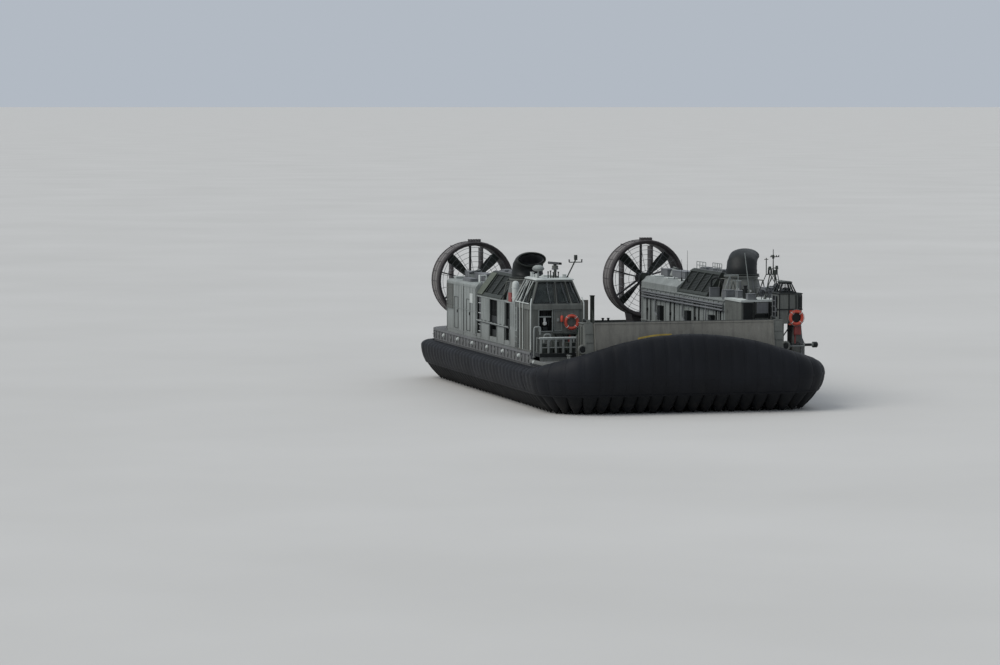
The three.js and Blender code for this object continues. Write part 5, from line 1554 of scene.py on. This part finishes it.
def add_engine_tops(pale, pipes, dark, side):
    """Hatches, covers, handles and exhaust rims on top of the engine module."""
    top = ENGINE_TOP
    for x in (-7.2, -4.8, -2.5):
        pale.block(side, (x - 0.35, x + 0.35), (4.3, 4.86), (top, top + 0.05))
        for foot_x in (x - 0.3, x + 0.3):
            for y in (4.35, 4.81):
                pale.post((foot_x, side * y, top + 0.05), 0.03, 0.03)
    handle = ((-0.06, 0), (-0.06, 0.1), (0.06, 0.1), (0.06, 0))
    for x in (-7.8, -5.6, -4.0, -2.0):
        for y in (4.5, 6.2):
            pipes.tube([(x + along, side * y, top + lift) for along, lift in handle], 0.014, 6)
    for x in (-3.3, -6.3):
        dark.rod((x, side * 5.442, 5.765), (x, side * 5.452, 5.805), 0.325, 20)
    pale.lidded(side, (-7.75, -7.3), (5.75, 6.2), (top, top + 0.1), (0.03, 0.03), 0.03)
    pipes.block(side, (-5.7, -4.1), (5.85, 6.25), (top, top + 0.16))
    for x0, x1 in ENGINE_COVERS:
        pipes.lidded(side, (x0, x1), (4.98, 5.58), (top, top + 0.36), (0.02, 0.02), 0.03)
        seams = spread(x0 + 0.15, x1 - 0.15, round((x1 - x0) / 0.35))
        pipes.side_bars(side, seams, 0.012, (5.58, 5.595), (top + 0.02, top + 0.35))
    pale.turn = facing((-2.5, -5.86 if side < 0 else 6.24, top + 0.05), (1, 0, 0))
    pale.surround(0.38, 0.38, 0.05, 0.25)
    pale.turn = UNTURNED
    for y in (5.9, 6.2):
        pale.block(side, (-2.45, -2.4), (y - 0.03, y + 0.03), (top, 5.45))


def make_module_gear():
    """What is fixed to the walls and tops of the machinery modules on both sides."""
    ribs = Piece("module_ribs", "wall_paint")
    dark = Piece("module_dark_gear_and_painted_shade", "black_paint", bevel=0.006)
    vents = Piece("module_vents", "cabin_paint")
    pipes = Piece("module_pipes", "hull_paint", smooth=True)
    pale = Piece("module_pale_gear", "roof_paint", bevel=0.012)
    for _, side in SIDES:
        add_engine_wall(ribs, dark, vents, pale, side)
        add_recess_gear(dark, pipes, pale, side)
        add_panels(ribs, dark, side)
        add_inner_wall(ribs, pipes, dark, side)
        add_engine_tops(pale, pipes, dark, side)


INTAKE_LENGTH = (-1.75, 2.83)
# Each grille has the y of its foot and of its head, counted outwards.
GRILLES = ((6.48, 5.65), (3.98, 4.75))


def make_intake_gear():
    """Slats behind the sloping grilles, and rails, boxes and a cover on the intakes."""
    slats = Piece("intake_slats", "black_paint", smooth=True)
    tops = Piece("intake_top_gear", "hull_paint", bevel=0.008)
    for _, side in SIDES:
        for low_y, high_y in GRILLES:
            lean = high_y - low_y
            inward = math.copysign(0.07, lean)
            for z in spread(5.08, 5.86, 12):
                y = side * (low_y + lean * (z - 4.92) / 1.11 + inward)
                slats.rod((-1.7, y, z), (2.78, y, z), 0.02, 5)
        for ys in ((4.8, 4.86), (5.54, 5.6)):
            tops.block(side, INTAKE_LENGTH, ys, (INTAKE_TOP, INTAKE_TOP + 0.04))
        box_height = (INTAKE_TOP, INTAKE_TOP + 0.09)
        for x in (-1.2, 0.2, 1.6):
            tops.lidded(side, (x, x + 0.75), (4.98, 5.42), box_height, (-0.03, -0.03), 0.03)
    rails = Piece("intake_rails", "wall_paint", smooth=True)
    add_rail(rails, (-1.2, 4.8, 6.06), (0.26, 4.8, 6.06), 0.36, 0.5, 0.018)
    add_rail(rails, (1.38, 4.8, 6.06), (2.8, 4.8, 6.06), 0.4, 0.36, 0.018)
    cover = Piece("intake_green_cover", "pale_green", bevel=0.004)
    cover.slab([(-6.5, 4.925), (-5.72, 5.96), (-5.74, 5.985), (-6.53, 4.94)], 0, -1.76, -0.75)


TANK_X, TANK_Y = 4.99, -6.31
TANK = ((0.001, 0.0), (0.14, 0.0), (0.17, 0.04), (0.175, 0.82), (0.15, 0.95), (0.09, 1.01), (0.001, 1.03))


def make_side_gear():
    """What stands on the fore modules between the intakes and the cabins, and the whip aerials."""
    top = MODULE_TOP
    tank = Piece("pale_tank", "roof_paint", smooth=True)
    tank.lathe(TANK, (TANK_X, TANK_Y, top), UP)
    for z in (5.05, 5.55):
        tank.hoop((TANK_X, TANK_Y, z), UP, 0.17, 0.02, 0.02)
    red = Piece("red_hose_box", "red", bevel=0.008)
    red.box((4.28, -6.49, top), (4.78, -6.415, 5.25))
    red.box((4.26, -6.495, 5.25), (4.8, -6.405, 5.28))
    red.rod((4.53, -6.41, 5.06), (4.53, -6.39, 5.06), 0.12, 18)
    whips = Piece("whip_aerials", "black_paint", smooth=True)
    for x, height in ((-1.2, 1.42), (-2.15, 0.94)):
        whips.post((x, 4.3, ENGINE_TOP), 0.18, 0.045, 10, 0.03)
        whips.post((x, 4.3, ENGINE_TOP + 0.18), height, 0.014, 6, 0.007)

    gear = Piece("module_top_lockers", "hull_paint", bevel=0.012)
    dark = Piece("module_top_dark", "black_paint", smooth=True)
    for _, side in SIDES:
        for xs, ys, head in (
            ((5.15, 5.75), (4.05, 4.5), 5.3), ((5.2, 5.6), (4.62, 4.9), 5.15), ((2.95, 3.1), (4.1, 4.6), 5.3),
        ):
            gear.lidded(side, xs, ys, (top, head), (0.015, 0.015), 0.03)
        dark.post((3.05, side * 4.85, top), 0.4, 0.09, 12)
        dark.post((2.98, side * 6.35, top), 0.25, 0.06, 12)
        dark.pipe([
            (3.0, side * 4.2, top), (3.0, side * 4.2, 5.7), (3.2, side * 4.4, 5.85), (3.4, side * 4.66, 5.62),
        ], 0.12, 0.05)
    gear.lidded(1, (5.0, 5.7), (5.9, 6.4), (top, 5.35), (0.02, 0.02), 0.03)
    bars = Piece("module_top_bars", "wall_paint", smooth=True)
    bars.rod((4.95, 4.1, 4.87), (4.95, 4.52, 6.0), 0.03)
    bars.rod((4.95, 4.22, 6.0), (4.95, 4.95, 6.0), 0.03)
    for y in (4.52, 4.93):
        bars.rod((4.95, y, top), (4.95, y, 6.0), 0.025)
    bars.tube([(5.3, 5.44, top), (5.3, 5.42, 5.0), (5.3, 5.15, 7.1)], 0.022)


# Thrusters

THRUSTER_X = 3.94
THRUSTER_OUT = 5.45
THRUSTER_AIMS = {STARBOARD: 0, PORT: 150}
# Each row of the elbow has its number, its tilt in degrees, x, z, half width and half depth.
# The first and the last row lie past the ends and give the curve its direction there.
ELBOW = (
    (-1, 0, 0.0, 5.95, 0.76, 0.76), (0, 0, 0.0, 5.95, 0.76, 0.76), (1, 10, 0.0, 6.2, 0.75, 0.74),
    (2, 35, 0.11, 6.54, 0.73, 0.60), (3, 65, 0.38, 6.76, 0.71, 0.42), (4, 88, 0.60, 6.87, 0.70, 0.345),
    (5, 90, 0.82, 6.88, 0.70, 0.34), (6, 90, 0.82, 6.88, 0.70, 0.34),
)
ELBOW_STEPS = 5
ELBOW_SIDES = 36


def add_elbow(piece, proud_by, bead):
    """A smooth sheet round a nozzle's elbow, outside or inside it, with a bead at each seam."""
    rings = []
    for step in range((len(ELBOW) - 3) * ELBOW_STEPS + 1):
        tilt, x, z, half_width, half_depth = smooth_row(ELBOW, step / ELBOW_STEPS)
        swell = proud_by + (bead if step and step % ELBOW_STEPS == 0 else 0.0)
        tilt = math.radians(tilt)
        ring = []
        for turn in turns(ELBOW_SIDES):
            along = (half_depth + swell) * math.cos(turn)
            across = (half_width + swell) * math.sin(turn)
            ring.append((x + along * math.cos(tilt), across, z - along * math.sin(tilt)))
        rings.append(ring)
    piece.grid(rings if proud_by > 0 else rings[::-1], closed_columns=True)


def make_nozzle(name, side, x, y):
    """The turning nozzle's rim, outer skin and lining."""
    body = f"thruster_nozzle_{name}"
    rim = Piece(f"thruster_rim_{name}", "dark_paint", body, smooth=True)
    skin = Piece(f"thruster_skin_{name}", "black_paint", body, smooth=True)
    lining = Piece(f"thruster_lining_{name}", "hull_paint", body, smooth=True)
    aim = math.radians(THRUSTER_AIMS[side])
    for piece in (rim, skin, lining):
        piece.turn = Matrix.Translation((x, y, 0)) @ Matrix.Rotation(aim, 4, "Z")
    rim.tube([(0.815, 0.69 * math.cos(turn), 6.88 + 0.33 * math.sin(turn)) for turn in turns(40)],
             0.028, closed=True)
    for z, radius in ((6.0, 0.862), (6.02, 0.78)):
        rim.tube(ring_points((0, 0, z), radius, 32, level_way), 0.014, 6, closed=True)
    add_elbow(skin, 0.006, 0.012)
    add_elbow(lining, -0.1, 0.0)


def make_thruster_gear():
    """Flange bolts, bands, ribs and lamps on the thrusters' bases, and the nozzles."""
    bolts = Piece("thruster_bolts", "machinery")
    plates = Piece("thruster_base_plates", "hull_paint", smooth=True)
    lamps = Piece("thruster_lamps", "white", smooth=True)
    for name, side in SIDES:
        x, y = THRUSTER_X, side * THRUSTER_OUT
        for foot in ring_points((x, y, 5.865), 0.845, 24, level_way):
            bolts.post(foot, 0.015, 0.018, 6)
        for radius, z in ((0.905, 5.2), (0.862, 5.45)):
            plates.tube(ring_points((x, y, z), radius, 24, level_way), 0.025, 6, closed=True)
        for turn in turns(8, math.radians(22)):
            way = level_way(turn)
            plates.rod(Vector((x, y, 4.98)) + way * 0.98, Vector((x, y, 5.74)) + way * 0.81, 0.03, 6)
        lamps.rod((x + 1.0, y - side * 0.55, 5.3), (x + 1.06, y - side * 0.55, 5.3), 0.09, 14)
        lamps.rod((x + 1.0, y + side * 0.1, 5.22), (x + 1.05, y + side * 0.1, 5.22), 0.06, 14)
        make_nozzle(name, side, x, y)


# Ducts and rudders

DUCT_OUT = 4.66
DUCT_HEIGHT = 5.16
RUDDER_GAP = 0.8
# Half of a rudder rib's outline, from its fore edge: x, then how far out it reaches.
RUDDER_RIB = ((-10.93, 0.02), (-11.02, 0.062), (-11.16, 0.076), (-11.5, 0.055), (-11.82, 0.014))


def make_duct_gear():
    """The guard ahead of each propeller, the duct's skin, bands and stringers, and the propeller's cuffs."""
    guards = Piece("propeller_guards", "wire", smooth=True)
    skins = Piece("duct_skins", "duct_skin", smooth=True)
    bands = Piece("duct_bands", "duct_paint", smooth=True)
    for name, side in SIDES:
        y, z = side * DUCT_OUT, DUCT_HEIGHT
        for radius in (0.42, 0.72, 1.0, 1.27, 1.52, 1.74):
            guards.tube(ring_points((-9.32, y, z), radius, 48), 0.011, 5, closed=True)
        middle = Vector((-9.33, y, z))
        for turn in turns(16, math.pi / 16):
            way = upright_way(turn)
            guards.rod(middle + way * 0.42, middle + way * 1.83, 0.012, 5)
        skins.hoop((-10.09, y, z), AHEAD, 1.988, 0.012, 0.53, 72)
        for x in (-9.62, -10.05, -10.5, -10.72):
            bands.tube(ring_points((x, y, z), 1.995, 64), 0.022, 6, closed=True)
        bands.tube(ring_points((-9.21, y, z), 1.985, 64), 0.024, closed=True)
        for fore in ring_points((-9.62, y, z), 2.0, 24):
            bands.rod(fore, fore - AHEAD * 1.1, 0.018, 5)
        bands.box((-10.7, y - 0.9, 2.7), (-9.5, y + 0.6, 2.74))
        cuffs = Piece(f"propeller_cuffs_{name}", "machinery", f"propeller_{name}", smooth=True)
        middle = Vector((-9.9, y, z))
        for turn in turns(4, math.pi / 4):
            way = upright_way(turn)
            cuffs.rod(middle + way * 0.27, middle + way * 0.4, 0.12, 14, 0.09)
        cuffs.rod((-9.46, y, z), (-9.4, y, z), 0.11, 14)


def make_rudder_gear():
    """Ribs round each rudder."""
    for name, side in SIDES:
        for place, offset in (("outer", RUDDER_GAP), ("inner", -RUDDER_GAP)):
            ribs = Piece(f"rudder_ribs_{name}_{place}", "hull_paint", f"rudder_{name}_{place}", bevel=0.003)
            y = side * (DUCT_OUT + offset)
            outline = [(x, y - half) for x, half in RUDDER_RIB]
            outline += [(x, y + half) for x, half in reversed(RUDDER_RIB)]
            for z in spread(DUCT_HEIGHT - 1.45, DUCT_HEIGHT + 1.45, 7):
                ribs.slab(outline, 2, z - 0.02, z + 0.02)


def make_stern_gear():
    """Bollards, and the posts and sill that frame the stern ramp."""
    bollards = Piece("stern_bollards", "black_paint", smooth=True)
    posts = Piece("stern_ramp_posts", "dark_paint", bevel=0.01)
    for _, side in SIDES:
        for x, y in ((-11.9, 3.0), (-11.9, 3.3), (-8.3, 6.2), (-8.6, 6.2)):
            bollards.capped_post((x, side * y, DECK), 0.26, 0.06, 0.04, 0.085, 12)
        posts.lidded(side, (-12.3, -12.12), (2.4, 2.6), (DECK, 4.1), (0.02, 0.02), 0.06)
        posts.slab([(-12.12, DECK), (-11.6, DECK), (-12.12, 3.4)], 1, *sorted((side * 2.44, side * 2.5)))
        posts.block(side, (-12.3, -12.2), (2.6, 4.6), (DECK, 2.82))


dress_frame()
make_camera()
make_studio()
make_skirt()
make_fingers()
make_hull_gear()
make_tie_downs()
make_bow_ramp_gear()
make_stern_ramp_gear()
make_walkway_gear()
make_foredeck_gear()
make_bulwark_gear()
make_window_trim()
make_control_cabin_walls()
make_cabin_bay()
make_cabin_front_gear()
make_life_ring_gear()
make_roof_gear()
make_cabin_inside()
make_lookout_gear()
make_mast_gear()
make_port_cabin_gear()
make_module_gear()
make_intake_gear()
make_side_gear()
make_thruster_gear()
make_duct_gear()
make_rudder_gear()
make_stern_gear()
for piece in list(Piece.waiting):
    piece.done()
